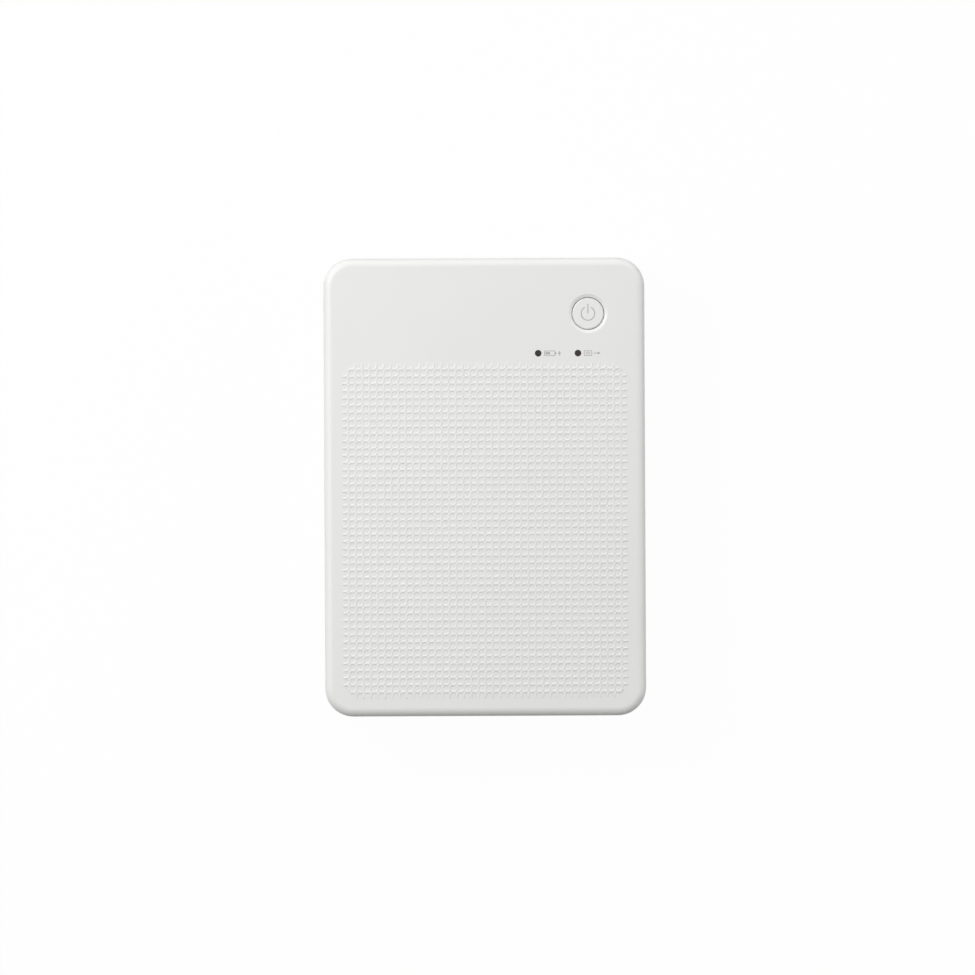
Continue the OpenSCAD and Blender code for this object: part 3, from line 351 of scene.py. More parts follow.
def disc_piece(sides: int, radius: float, place: Point, turn: Point = (0.0, 0.0, 0.0),
               fill: str = "NGON") -> Piece:
    """Adds a regular outline.

    Args:
        sides: How many sides it has.
        radius: The radius of its corners.
        place: Its middle.
        turn: Its turn from lying flat.
        fill: NGON for a face inside the outline, NOTHING for none.

    Returns:
        The new object.
    """
    put_down()
    bpy.ops.mesh.primitive_circle_add(vertices=sides, radius=radius * MM, fill_type=fill,
                                      location=mm(*place), rotation=turn)
    return bpy.context.object


def joined(pieces: Iterable[Piece]) -> Piece:
    """Joins several objects.

    Args:
        pieces: The objects to join.

    Returns:
        The first of them, which holds them all.
    """
    pieces = list(pieces)
    take(pieces[0])
    for piece in pieces:
        piece.select_set(True)
    if len(pieces) > 1:
        bpy.ops.object.join()
    return pieces[0]


def copies(pattern: Piece, places: Iterable[Point], top: float) -> list[Piece]:
    """Sets copies of a pattern, each with a mesh of its own, and deletes the pattern.

    Args:
        pattern: The object to copy, whose mesh is modelled round the origin.
        places: Each copy's x and y, and its turn in degrees.
        top: The height that the copies stand at.

    Returns:
        The copies, with their places applied.
    """
    made = []
    for x, y, turn in places:
        take(pattern)
        bpy.ops.object.duplicate(linked=False)
        copy = bpy.context.object
        copy.rotation_euler = (0.0, 0.0, math.radians(turn))
        copy.location = mm(x, y, top)
        bpy.ops.object.transform_apply()
        made.append(copy)
    bpy.data.objects.remove(pattern, do_unlink=True)
    return made


# ---------------------------------------------------------------- finishes


class Wire:
    """Places nodes in a node tree and links them with few words."""

    def __init__(self, tree: bpy.types.NodeTree) -> None:
        """Starts on a node tree."""
        self.tree = tree

    def feed(self, target: Socket, value: object) -> None:
        """Links a socket to an input, or sets the input to a value.

        Args:
            target: The input.
            value: The socket or the value.
        """
        if isinstance(value, Socket):
            self.tree.links.new(value, target)
        else:
            target.default_value = value

    def node(self, kind: str, *fed: object, **values: object) -> bpy.types.Node:
        """Places a node, sets its properties and feeds its inputs.

        Args:
            kind: The node's type name without its ShaderNode prefix.
            *fed: Values or sockets for its first inputs.
            **values: Properties, or values and sockets for inputs, with _ for a space in a name.

        Returns:
            The new node.
        """
        node = self.tree.nodes.new("ShaderNode" + kind)
        for name, value in values.items():
            if hasattr(node, name) and name not in node.inputs:
                setattr(node, name, value)
            else:
                self.feed(node.inputs[name.replace("_", " ")], value)
        for target, value in zip(node.inputs, fed):
            self.feed(target, value)
        return node

    def math(self, operation: str, *fed: object) -> Socket:
        """Places a Math node and returns its output."""
        return self.node("Math", *fed, operation=operation).outputs[0]

    def mixed(self, share: object, one: object, other: object) -> Socket:
        """Mixes two colours.

        Args:
            share: The other colour's share.
            one: The first colour.
            other: The other colour.

        Returns:
            The mixed colour.
        """
        mix = self.node("Mix", data_type="RGBA")
        for index, value in ((0, share), (6, one), (7, other)):
            self.feed(mix.inputs[index], value)
        return mix.outputs[2]

    def place(self) -> Socket:
        """Returns the place on the object."""
        return self.node("TexCoord").outputs["Object"]


class Paint(Wire):
    """A material with its shader."""

    def __init__(self, material: bpy.types.Material) -> None:
        """Starts the material with its Principled BSDF and nothing else.

        Args:
            material: The material.
        """
        material.use_nodes = True
        material.node_tree.nodes.clear()
        super().__init__(material.node_tree)
        self.shader = self.node("BsdfPrincipled")
        self.node("OutputMaterial", Surface=self.shader.outputs["BSDF"])

    def shade(self, **values: object) -> None:
        """Feeds the shader's inputs, with _ for a space in a name."""
        for name, value in values.items():
            self.feed(self.shader.inputs[name.replace("_", " ")], value)

    def relief(self, height: Socket, strength: float, distance: float) -> None:
        """Feeds a height through a Bump node to the shader's normal.

        Args:
            height: The socket that gives the height.
            strength: The bump's strength.
            distance: The bump's distance in metres.
        """
        bump = self.node("Bump", Strength=strength, Distance=distance, Height=height)
        self.shade(Normal=bump.outputs["Normal"])


def new_group(name: str, inputs: dict[str, object], outputs: dict[str, str]
              ) -> tuple[Wire, dict, dict]:
    """Makes a shader node group with named sockets.

    Args:
        name: The group's name.
        inputs: Each input's name and default: a float, a colour of four numbers, or a vector.
        outputs: Each output's name and its type, Float or Color.

    Returns:
        A Wire on the group, and the sockets of its input and output nodes by name.
    """
    tree = bpy.data.node_groups.new(name, "ShaderNodeTree")
    for label, value in inputs.items():
        if isinstance(value, float):
            kind = "NodeSocketFloat"
        else:
            kind = "NodeSocketColor" if len(value) == 4 else "NodeSocketVector"
        socket = tree.interface.new_socket(name=label, in_out="INPUT", socket_type=kind)
        socket.default_value = value
    for label, kind in outputs.items():
        tree.interface.new_socket(name=label, in_out="OUTPUT", socket_type="NodeSocket" + kind)
    into, out = tree.nodes.new("NodeGroupInput"), tree.nodes.new("NodeGroupOutput")
    return Wire(tree), into.outputs, out.inputs


@cache
def moulded_grain() -> bpy.types.NodeTree:
    """Builds the group for the fine spark-eroded grain that a mould leaves on plastic.

    Returns:
        A group that turns Size, in grains per metre, Low and High into Height and Gloss.
    """
    wire, into, out = new_group(
        "moulded_grain", {"Size": 5000.0, "Low": 0.4, "High": 0.5},
        {"Height": "Float", "Gloss": "Float"})
    fine = wire.node("TexNoise", Vector=wire.place(), Scale=into["Size"], Detail=3.0,
                     Roughness=0.6).outputs["Fac"]
    broad = wire.node("TexNoise", Vector=wire.place(), Scale=90.0, Detail=2.0).outputs["Fac"]
    wire.feed(out["Height"], fine)
    both = wire.math("MULTIPLY_ADD", fine, 0.5, wire.math("MULTIPLY", broad, 0.5))
    gloss = wire.node("MapRange", Value=both, From_Min=0.3, From_Max=0.7, To_Min=into["Low"],
                      To_Max=into["High"])
    wire.feed(out["Gloss"], gloss.outputs["Result"])
    return wire.tree


@cache
def tone_drift() -> bpy.types.NodeTree:
    """Builds the group for the slow change of tone over a surface.

    Returns:
        A group that turns Tone, Other, Size and Share into Colour.
    """
    wire, into, out = new_group(
        "tone_drift",
        {"Tone": (0.8, 0.8, 0.8, 1.0), "Other": (0.7, 0.7, 0.7, 1.0), "Size": 40.0, "Share": 0.3},
        {"Colour": "Color"})
    cloud = wire.node("TexNoise", Vector=wire.place(), Scale=into["Size"], Detail=4.0,
                      Roughness=0.55)
    share = wire.node("MapRange", Value=cloud.outputs["Fac"], From_Min=0.35, From_Max=0.65,
                      To_Max=into["Share"])
    wire.feed(out["Colour"], wire.mixed(share.outputs["Result"], into["Tone"], into["Other"]))
    return wire.tree


@cache
def brushed_lines() -> bpy.types.NodeTree:
    """Builds the group for the drawn or ground lines on metal.

    Returns:
        A group that turns Lines, per metre along each axis, Low and High into Height and Gloss.
    """
    wire, into, out = new_group(
        "brushed_lines", {"Lines": (200.0, 6000.0, 6000.0), "Low": 0.25, "High": 0.45},
        {"Height": "Float", "Gloss": "Float"})
    stretch = wire.node("VectorMath", wire.place(), into["Lines"], operation="MULTIPLY")
    streak = wire.node("TexNoise", Vector=stretch.outputs[0], Scale=1.0, Detail=3.0,
                       Roughness=0.65).outputs["Fac"]
    wire.feed(out["Height"], streak)
    gloss = wire.node("MapRange", Value=streak, From_Min=0.3, From_Max=0.7, To_Min=into["Low"],
                      To_Max=into["High"])
    wire.feed(out["Gloss"], gloss.outputs["Result"])
    return wire.tree


@dataclass(frozen=True)
class Finish:
    """What every finish of the printer has.

    Attributes:
        name: The material's name.
        tone: Its main colour.
        other: The colour that it drifts towards.
        low: Its lowest roughness.
        high: Its highest roughness.
    """

    name: str
    tone: Colour
    other: Colour
    low: float
    high: float

    @cache
    def made(self) -> bpy.types.Material:
        """Builds the material the first time it is asked for.

        Returns:
            The material.
        """
        material = bpy.data.materials.new(self.name)
        self.lay(Paint(material))
        return material

    def lay(self, paint: Paint) -> None:
        """Lays the finish on a material; each kind of finish has its own way."""
        raise NotImplementedError

    def drift(self, paint: Paint, size: float, share: float) -> None:
        """Lays the drifting colour.

        Args:
            paint: The material.
            size: Clouds per metre.
            share: How far the tone goes towards the other colour.
        """
        cloud = paint.node("Group", node_tree=tone_drift(), Tone=(*self.tone, 1.0),
                           Other=(*self.other, 1.0), Size=size, Share=share)
        paint.shade(Base_Color=cloud.outputs["Colour"])

    def gloss(self, paint: Paint, group: bpy.types.NodeTree, **values: object) -> Socket:
        """Lays the roughness from a group that has Low, High and Gloss.

        Args:
            paint: The material.
            group: The group.
            **values: Values for its other inputs.

        Returns:
            The group's height.
        """
        texture = paint.node("Group", node_tree=group, Low=self.low, High=self.high, **values)
        paint.shade(Roughness=texture.outputs["Gloss"])
        return texture.outputs["Height"]


@dataclass(frozen=True)
class Moulded(Finish):
    """Injection-moulded plastic with a fine grain.

    Attributes:
        grain: Grains per metre.
        depth: The grain's depth in metres.
        level: The shader's specular level.
    """

    grain: float = 5200.0
    depth: float = 0.00002
    level: float = 0.5

    def lay(self, paint: Paint) -> None:
        """Lays the finish on a material.

        Args:
            paint: The material.
        """
        self.drift(paint, size=38.0, share=0.5)
        grain = self.gloss(paint, moulded_grain(), Size=self.grain)
        paint.relief(grain, strength=0.6, distance=self.depth)
        paint.shade(Specular_IOR_Level=self.level)


@dataclass(frozen=True)
class Metal(Finish):
    """Drawn, rolled or ground metal.

    Attributes:
        lines: Lines per metre along each axis.
    """

    lines: Point = (250.0, 7000.0, 7000.0)

    def body(self, paint: Paint) -> None:
        """Lays the bare metal."""
        paint.shade(Metallic=1.0)
        self.drift(paint, size=160.0, share=0.7)

    def lay(self, paint: Paint) -> None:
        """Lays the finish on a material.

        Args:
            paint: The material.
        """
        self.body(paint)
        lines = self.gloss(paint, brushed_lines(), Lines=self.lines)
        paint.relief(lines, strength=0.35, distance=0.00001)


@dataclass(frozen=True)
class Knurled(Metal):
    """A ground shaft with a fine crossed knurl that grips the sheet.

    Attributes:
        pitch: Ridges per metre.
    """

    pitch: float = 2200.0

    def lay(self, paint: Paint) -> None:
        """Lays the finish on a material.

        Args:
            paint: The material.
        """
        self.body(paint)
        ridges = []
        for slant in (1.0, -1.0):
            turn = (math.radians(38.0) * slant, 0.0, math.radians(40.0) * slant)
            slanted = paint.node("Mapping", Vector=paint.place(), Rotation=turn)
            ridges.append(paint.node("TexWave", Vector=slanted.outputs["Vector"],
                                     Scale=self.pitch / 6.0).outputs["Fac"])
        both = paint.math("MULTIPLY", *ridges)
        paint.relief(both, strength=0.8, distance=0.00006)
        worn = paint.node("MapRange", Value=both, To_Min=self.high, To_Max=self.low)
        paint.shade(Roughness=worn.outputs["Result"])


@dataclass(frozen=True)
class Rubber(Finish):
    """Matt rubber with a ground surface and a little paper dust.

    Attributes:
        grain: Grains per metre.
    """

    grain: float = 3000.0

    def lay(self, paint: Paint) -> None:
        """Lays the finish on a material.

        Args:
            paint: The material.
        """
        self.drift(paint, size=420.0, share=0.6)
        grain = self.gloss(paint, moulded_grain(), Size=self.grain)
        paint.relief(grain, strength=0.9, distance=0.00005)
        paint.shade(Specular_IOR_Level=0.3)


@dataclass(frozen=True)
class Cork(Finish):
    """Pressed cork granules."""

    def lay(self, paint: Paint) -> None:
        """Lays the finish on a material.

        Args:
            paint: The material.
        """
        granule = paint.node("TexVoronoi", Vector=paint.place(), Scale=900.0)
        ramp = paint.node("ValToRGB", Fac=granule.outputs["Color"])
        dark, light = ramp.color_ramp.elements
        dark.color, dark.position = (*self.other, 1.0), 0.15
        light.color = (*self.tone, 1.0)
        paint.shade(Base_Color=ramp.outputs["Color"])
        self.gloss(paint, moulded_grain(), Size=2600.0)
        paint.relief(granule.outputs["Distance"], strength=0.8, distance=0.0001)


@dataclass(frozen=True)
class Board(Finish):
    """A circuit board: solder mask over copper tracks, with bare pads.

    Attributes:
        track: The colour of the mask where copper lies under it.
        pad: The colour of a bare pad.
    """

    track: Colour = (0.02, 0.14, 0.064)
    pad: Colour = (0.55, 0.5, 0.32)

    def lay(self, paint: Paint) -> None:
        """Lays the finish on a material.

        Args:
            paint: The material.
        """
        weave = paint.node("TexBrick", Vector=paint.place(), Scale=160.0, offset=0.35, squash=1.6,
                           Mortar_Size=0.02, Mortar_Smooth=0.1, Color1=(*self.tone, 1.0),
                           Color2=(*self.other, 1.0), Mortar=(*self.track, 1.0))
        dots = paint.node("TexVoronoi", Vector=paint.place(), Scale=420.0, Randomness=0.7)
        bare = paint.math("LESS_THAN", dots.outputs["Distance"], 0.11)
        paint.shade(Base_Color=paint.mixed(bare, weave.outputs["Color"], (*self.pad, 1.0)))
        self.gloss(paint, moulded_grain(), Size=1800.0)
        paint.relief(weave.outputs["Fac"], strength=0.4, distance=0.00003)


@dataclass(frozen=True)
class Film(Finish):
    """Glossy dye film, drawn into fine creases by its spools."""

    def lay(self, paint: Paint) -> None:
        """Lays the finish on a material.

        Args:
            paint: The material.
        """
        self.drift(paint, size=25.0, share=0.9)
        creases = self.gloss(paint, brushed_lines(), Lines=(90.0, 2600.0, 2600.0))
        paint.relief(creases, strength=0.25, distance=0.00004)
        paint.shade(Coat_Weight=0.6, Coat_Roughness=0.08)


@dataclass(frozen=True)
class Lamp(Finish):
    """The clear resin and yellow dot of a small light, unlit."""

    def lay(self, paint: Paint) -> None:
        """Lays the finish on a material.

        Args:
            paint: The material.
        """
        self.drift(paint, size=900.0, share=1.0)
        grain = self.gloss(paint, moulded_grain(), Size=4000.0)
        paint.relief(grain, strength=0.2, distance=0.00001)
        paint.shade(Coat_Weight=0.8)


class Stock(Enum):
    """Every finish that the printer is made in."""

    CASE = Moulded("case_shell_plastic", (0.80, 0.80, 0.79), (0.775, 0.775, 0.765), 0.42, 0.5)
    COVER = Moulded("cover_shell_plastic", (0.80, 0.80, 0.795), (0.785, 0.785, 0.775), 0.42, 0.5)
    BUTTON = Moulded("button_cap_plastic", (0.81, 0.81, 0.805), (0.795, 0.795, 0.785), 0.42, 0.5)
    GREY = Moulded("liner_plastic", (0.15, 0.155, 0.16), (0.12, 0.125, 0.13), 0.5, 0.62,
                   grain=3600.0, depth=0.00004)
    DARK = Moulded("chassis_plastic", (0.02, 0.021, 0.023), (0.032, 0.033, 0.035), 0.48, 0.62,
                   grain=3200.0, depth=0.00005)
    CASSETTE = Moulded("cassette_shell_plastic", (0.1, 0.105, 0.11), (0.08, 0.084, 0.088), 0.4,
                       0.52, grain=3800.0)
    GEAR = Moulded("acetal", (0.67, 0.63, 0.52), (0.61, 0.57, 0.46), 0.36, 0.46, grain=2400.0)
    SMOKED = Moulded("smoked_lens", (0.044, 0.036, 0.032), (0.037, 0.03, 0.027), 0.12, 0.2,
                     grain=1200.0, depth=0.000004, level=0.2)
    CHIP = Moulded("chip_resin", (0.02, 0.02, 0.021), (0.03, 0.03, 0.031), 0.45, 0.6,
                   grain=7000.0)
    PRINT = Moulded("pad_print_grey", (0.42, 0.42, 0.415), (0.4, 0.4, 0.395), 0.4, 0.5,
                    grain=7000.0)
    RUBBER = Rubber("feed_rubber", (0.012, 0.012, 0.013), (0.028, 0.028, 0.029), 0.6, 0.8)
    FOOT = Rubber("foot_rubber", (0.07, 0.07, 0.072), (0.1, 0.1, 0.1), 0.65, 0.82, grain=2200.0)
    CORK = Cork("pad_cork", (0.36, 0.21, 0.1), (0.12, 0.06, 0.03), 0.75, 0.9)
    SHEET = Metal("zinc_plated_sheet", (0.52, 0.53, 0.54), (0.44, 0.46, 0.46), 0.28, 0.46,
                  lines=(5000.0, 260.0, 5000.0))
    STEEL = Metal("ground_steel", (0.56, 0.56, 0.57), (0.5, 0.5, 0.5), 0.16, 0.28)
    CAPSTAN = Knurled("knurled_steel", (0.5, 0.5, 0.51), (0.42, 0.42, 0.43), 0.2, 0.4)
    SCREW = Metal("black_screw_steel", (0.05, 0.05, 0.052), (0.1, 0.1, 0.1), 0.3, 0.5,
                  lines=(3000.0, 3000.0, 3000.0))
    ALUMINIUM = Metal("extruded_aluminium", (0.72, 0.73, 0.74), (0.64, 0.65, 0.66), 0.26, 0.42,
                      lines=(120.0, 5000.0, 5000.0))
    BRASS = Metal("turned_brass", (0.7, 0.48, 0.16), (0.6, 0.4, 0.12), 0.2, 0.34)
    BOARD = Board("solder_mask", (0.012, 0.1, 0.045), (0.014, 0.12, 0.05), 0.28, 0.42)
    CERAMIC = Moulded("glazed_ceramic", (0.62, 0.55, 0.42), (0.56, 0.5, 0.38), 0.12, 0.25,
                      grain=900.0, depth=0.000006)
    FILM = Film("dye_film", (0.1, 0.012, 0.05), (0.045, 0.02, 0.12), 0.1, 0.22)
    BATTERY = Moulded("shrink_wrap", (0.018, 0.022, 0.03), (0.03, 0.034, 0.042), 0.28, 0.5,
                      grain=500.0, depth=0.0001)
    LED = Lamp("led_resin", (0.8, 0.72, 0.3), (0.85, 0.84, 0.72), 0.12, 0.22)
    COPPER = Moulded("masked_copper", (0.035, 0.22, 0.1), (0.028, 0.18, 0.08), 0.26, 0.38,
                     grain=3000.0, depth=0.000006)
    TIN = Metal("tinned_copper", (0.62, 0.62, 0.6), (0.52, 0.52, 0.5), 0.22, 0.4,
                lines=(1500.0, 1500.0, 1500.0))
    GOLD = Metal("gold_plating", (0.8, 0.58, 0.25), (0.72, 0.5, 0.2), 0.16, 0.3,
                 lines=(400.0, 5000.0, 5000.0))


CAD_FINISHES: dict[Stock, tuple[str, ...]] = {
    Stock.CASE: ("lower_case", "ink_door"),
    Stock.COVER: ("top_cover",),
    Stock.BUTTON: ("power_button", "cover_slider"),
    Stock.GREY: ("cover_liner", "button_retainer", "pressure_plate"),
    Stock.DARK: ("paper_tray", "mechanism_deck"),
    Stock.CASSETTE: ("cassette_shell",),
    Stock.GEAR: ("roller_bushes", "idler_gear_1", "idler_gear_2", "idler_gear_3", "ribbon_drive",
                 "head_cam", "supply_spool", "takeup_spool"),
    Stock.SMOKED: ("charge_light_guide", "status_light_guide"),
    Stock.CHIP: ("board_parts", "button_switch"),
    Stock.RUBBER: ("pick_tyres", "pinch_roller", "platen_rubber"),
    Stock.FOOT: ("rubber_feet",),
    Stock.CORK: ("pressure_pad",),
    Stock.SHEET: ("left_plate", "right_plate", "feed_motor", "head_carrier", "usb_socket"),
    Stock.STEEL: ("hinge_pins", "button_washer", "ink_door_rod", "pressure_springs",
                  "pick_shaft", "platen_shaft", "idler_studs"),
    Stock.CAPSTAN: ("capstan",),
    Stock.SCREW: ("liner_screws", "case_screws", "retainer_screws", "tray_screws", "deck_screws",
                  "board_screws"),
    Stock.ALUMINIUM: ("heat_sink",),
    Stock.BRASS: ("motor_pinion",),
    Stock.BOARD: ("main_board", "control_board"),
    Stock.CERAMIC: ("head_board",),
    Stock.FILM: ("supply_roll", "takeup_roll", "ink_film"),
    Stock.BATTERY: ("battery_pack",),
    Stock.LED: ("indicator_leds",),
}


def coat(piece: Piece, stock: Stock) -> None:
    """Puts a finish on every material slot of an object.

    Args:
        piece: The object, a CAD node or a new piece.
        stock: The finish.
    """
    material = stock.value.made()
    if not piece.material_slots:
        piece.data.materials.append(material)
    for slot in piece.material_slots:
        slot.material = material


def fit(parts: Iterable[Piece], name: str, stock: Stock, body: str = "case",
        angle: float = 35.0) -> Piece:
    """Makes a finished piece of its parts: joins, names and coats them and fits them to a body.

    Args:
        parts: The parts.
        name: The piece's name.
        stock: Its finish.
        body: The CAD body that it rides on.
        angle: The angle in degrees above which an edge stays sharp.

    Returns:
        The piece, with its place in its mesh.
    """
    piece = joined(parts)
    take(piece)
    bpy.ops.object.transform_apply()
    bpy.ops.object.shade_smooth_by_angle(angle=math.radians(angle))
    piece.name = piece.data.name = name
    coat(piece, stock)
    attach(piece, body)
    LOG.info("%s: %d faces, rides on %s", name, len(piece.data.polygons), body)
    return piece


# ---------------------------------------------------------------- the paper cover


@dataclass
class CoverLattice:
    """The shallow lattice of ridges moulded on the paper cover, round eight-sided cells.

    Attributes:
        first_x: The ridge nearest the left side.
        last_y: The ridge nearest the output end.
        across: How many ridges stand across the width.
        along: How many ridges lie along the length.
        pitch: From one ridge to the next.
        crest: Half the width of a ridge's flat crest.
        side: The length of a cell's straight sides.
        dimple: The depth of the dimple where ridges cross.
        flank: The width of a ridge's sloping flank.
        rise: The height of a ridge.
        sunk: How far its foot is sunk in the cover.
        stub: How far the ridges run on past the outermost ones.
        top: The height of the cover's face.
    """

    first_x: float = -43.4
    last_y: float = 37.6
    across: int = 39
    along: int = 46
    pitch: float = 2.284
    crest: float = 0.06
    side: float = 0.8
    dimple: float = 0.26
    flank: float = 0.34
    rise: float = 0.27
    sunk: float = 0.03
    stub: float = 1.75
    top: float = 32.9

    def cell(self) -> Piece:
        """Models one cell: the ridges' halves round an eight-sided hole, closed below.

        Returns:
            The cell, one pitch before the lattice's first corner.
        """
        half = self.pitch / 2
        tile = plate_piece((self.pitch, self.pitch), (0.0, 0.0, 0.0))
        edit(tile)
        mouth, side = half - self.crest, self.side / 2
        for way in (X_WAY, Y_WAY):
            for place in (-mouth, -side, side, mouth):
                cut([place * v for v in way], way)
        bpy.ops.mesh.select_mode(type=Kind.VERT.value)
        pick_points(tile, lambda p: abs(max(abs(p.x), abs(p.y)) - mouth) < NEAR
                    and min(abs(p.x), abs(p.y)) < side + NEAR)
        bpy.ops.mesh.vert_connect()
        pick_points(tile, lambda p: min(abs(p.x), abs(p.y)) > mouth - NEAR)
        push(z=-self.dimple)
        bpy.ops.mesh.select_mode(type=Kind.FACE.value)
        pick_faces(tile, lambda c, n: max(abs(c.x), abs(c.y)) < mouth - NEAR
                   and abs(c.x) + abs(c.y) < mouth + side - NEAR)
        bpy.ops.mesh.dissolve_faces()
        pick_faces(tile, lambda c, n: c.length < self.crest)
        foot = -self.rise - self.sunk
        inset(self.flank, foot)
        bpy.ops.mesh.delete(type="ONLY_FACE")
        bpy.ops.mesh.select_all(action="SELECT")
        bpy.ops.mesh.duplicate()
        scale((1.0, 1.0, 0.0), (0.0, 0.0, foot))
        bpy.ops.mesh.flip_normals()
        bpy.ops.mesh.select_all(action="SELECT")
        bpy.ops.mesh.remove_doubles(threshold=MERGED)
        take(tile)
        tile.location = mm(self.first_x - half, self.last_y + half - self.pitch * self.along,
                           self.top + self.rise)
        bpy.ops.object.transform_apply()
        return tile

    def trim(self, sheet: Piece, through: Point, normal: Point) -> None:
        """Cuts the lattice along a plane, drops what lies beyond it and closes the cut ends.

        Args:
            sheet: The lattice.
            through: A point of the plane.
            normal: Points to the side that is dropped.
        """
        edit(sheet)
        cut(through, normal, use_fill=True, clear_outer=True)
        put_down()

    def build(self) -> None:
        """Repeats the cell over the cover, trims the ridges' ends and rounds the corners."""
        sheet = self.cell()
        for count, way in ((self.across + 1, X_WAY), (self.along + 1, Y_WAY)):
            repeat(sheet, count, [self.pitch * v for v in way], use_merge_vertices=True,
                   merge_threshold=2 * MERGED)
        left, back = self.first_x, self.last_y
        right = left + self.pitch * (self.across - 1)
        front = back - self.pitch * (self.along - 1)
        reach = self.pitch / 2
        for axis, edge in ((0, left - reach), (0, right + reach), (1, front - reach),
                           (1, back + reach)):
            normal = [0.0, 0.0, 0.0]
            normal[axis] = math.copysign(1.0, edge)
            self.trim(sheet, [abs(edge) * v for v in normal], normal)
            edit(sheet, Kind.VERT)
            pick_points(sheet, lambda p: abs(p[axis] - edge) < NEAR)
            push(*(v * (self.stub - reach) for v in normal))
        for x, x_way in ((left, -1.0), (right, 1.0)):
            for y, y_way in ((front, -1.0), (back, 1.0)):
                self.trim(sheet, (x, y, self.top), (x_way, y_way, 0.0))
        fit([sheet], "cover_lattice", Stock.COVER, "cover", angle=50.0)


@dataclass
class Controls:
    """The printed and inlaid marks of the control corner.

    Attributes:
        button: The middle of the power button.
        mark: The foot and the top of the inlay of the power mark.
        face: The height of the cover's face.
        ink: How far a pad print stands on the face.
        sunk: How far its foot is sunk in the face.
        lights: The middle of each light's lens.
    """

    button: Pair = (33.1, 55.1)
    mark: Pair = (32.37, 32.465)
    face: float = 32.9
    ink: float = 0.02
    sunk: float = 0.01
    lights: tuple[Pair, Pair] = ((17.2, 42.5), (29.85, 42.5))

    def ring(self, inner: float, outer: float, gap: float) -> Piece:
        """Models the broken ring of the power mark by spinning its section.

        Args:
            inner: The ring's inner radius.
            outer: Its outer radius.
            gap: Half the angle that is left open at the top, in degrees.

        Returns:
            The ring, round the origin.
        """
        low, high = self.mark
        middle = ((inner + outer) / 2, 0.0, (low + high) / 2)
        band = plate_piece((outer - inner, high - low), middle, UPRIGHT)
        band.rotation_euler = (0.0, 0.0, math.radians(90.0 - gap))
        bpy.ops.object.transform_apply()
        edit(band)
        spin(band, 56, math.radians(360.0 - 2 * gap))
        return band

    def power_mark(self) -> None:
        """Models the grey inlay of the power mark: a broken ring and a bar."""
        low, high = self.mark
        bar = box_piece((-0.11, 0.03, low), (0.11, 3.02, high))
        soften(bar, 0.02)
        mark = joined([self.ring(2.05, 2.27, 28.0), bar])
        mark.location = mm(*self.button, 0.0)
        fit([mark], "power_mark", Stock.PRINT, "button")

    def flat(self, size: Pair, x: float, rounding: float, y: float = 0.0, line: float = 0.0
             ) -> Piece:
        """Adds a print's flat outline with rounded corners.

        Args:
            size: Its width and height.
            x: Its middle, counted from the print's own middle.
            rounding: The radius of its corners.
            y: Its middle, upwards.
            line: The width of the line that is left of it, or 0 for all of it.

        Returns:
            The flat outline.
        """
        plate = plate_piece(size, (x, y, 0.0))
        edit(plate, Kind.VERT, "SELECT")
        bpy.ops.mesh.bevel(offset=rounding * MM, segments=3, affect="VERTICES")
        if line:
            edit(plate, action="SELECT")
            inset(line)
            bpy.ops.mesh.delete(type="FACE")
        put_down()
        return plate

    def bolt(self, x: float) -> Piece:
        """Models the flat outline of a bolt by pulling the corners of a hexagon.

        Args:
            x: The bolt's middle.

        Returns:
            The flat bolt.
        """
        shape = disc_piece(6, 1.0, (0.0, 0.0, 0.0))
        for index, corner in enumerate(((0.2, 1.0), (-0.52, -0.16), (-0.05, -0.16), (-0.2, -1.0),
                                        (0.52, 0.16), (0.05, 0.16))):
            edit(shape, Kind.VERT)
            point = cleared(shape).vertices[index]
            point.select = True
            move = Vector((*corner, 0.0)) - point.co / MM
            bpy.ops.object.mode_set(mode="EDIT")
            push(*move)
        face_up(shape)
        shape.location = mm(x, 0.0, 0.0)
        return shape

    def icon(self, parts: list[Piece], name: str, x: float, y: float) -> None:
        """Gives the flat parts of a print their thickness and fits them on the cover.

        Args:
            parts: The flat parts, round the print's own middle.
            name: The print's name.
            x: The print's middle on the cover.
            y: The same, along the cover.
        """
        mark = joined(parts)
        edit(mark, action="SELECT")
        draw_out(z=self.ink + self.sunk)
        face_out(mark)
        mark.location = mm(x, y, self.face - self.sunk)
        fit([mark], name, Stock.PRINT, "cover")

    def build(self) -> None:
        """Builds the power mark, the charge light's battery and the status light's sheet."""
        self.power_mark()
        (charge_x, charge_y), (status_x, status_y) = self.lights
        self.icon([self.flat((3.5, 1.66), -1.35, 0.22, line=0.2),
                   self.flat((0.3, 0.76), 0.6, 0.08), self.flat((1.5, 0.72), -1.98, 0.08),
                   self.bolt(1.75)], "charge_icon", charge_x + 5.0, charge_y)
        self.icon([self.flat((2.6, 1.66), -1.2, 0.16, line=0.2),
                   self.flat((1.5, 0.18), -1.2, 0.06, y=0.26),
                   self.flat((1.5, 0.18), -1.2, 0.06, y=-0.24),
                   self.flat((1.4, 0.22), 1.25, 0.06),
                   disc_piece(3, 0.55, (2.2, 0.0, 0.0), (0.0, 0.0, -math.pi / 2))],
                  "status_icon", status_x + 4.4, status_y)


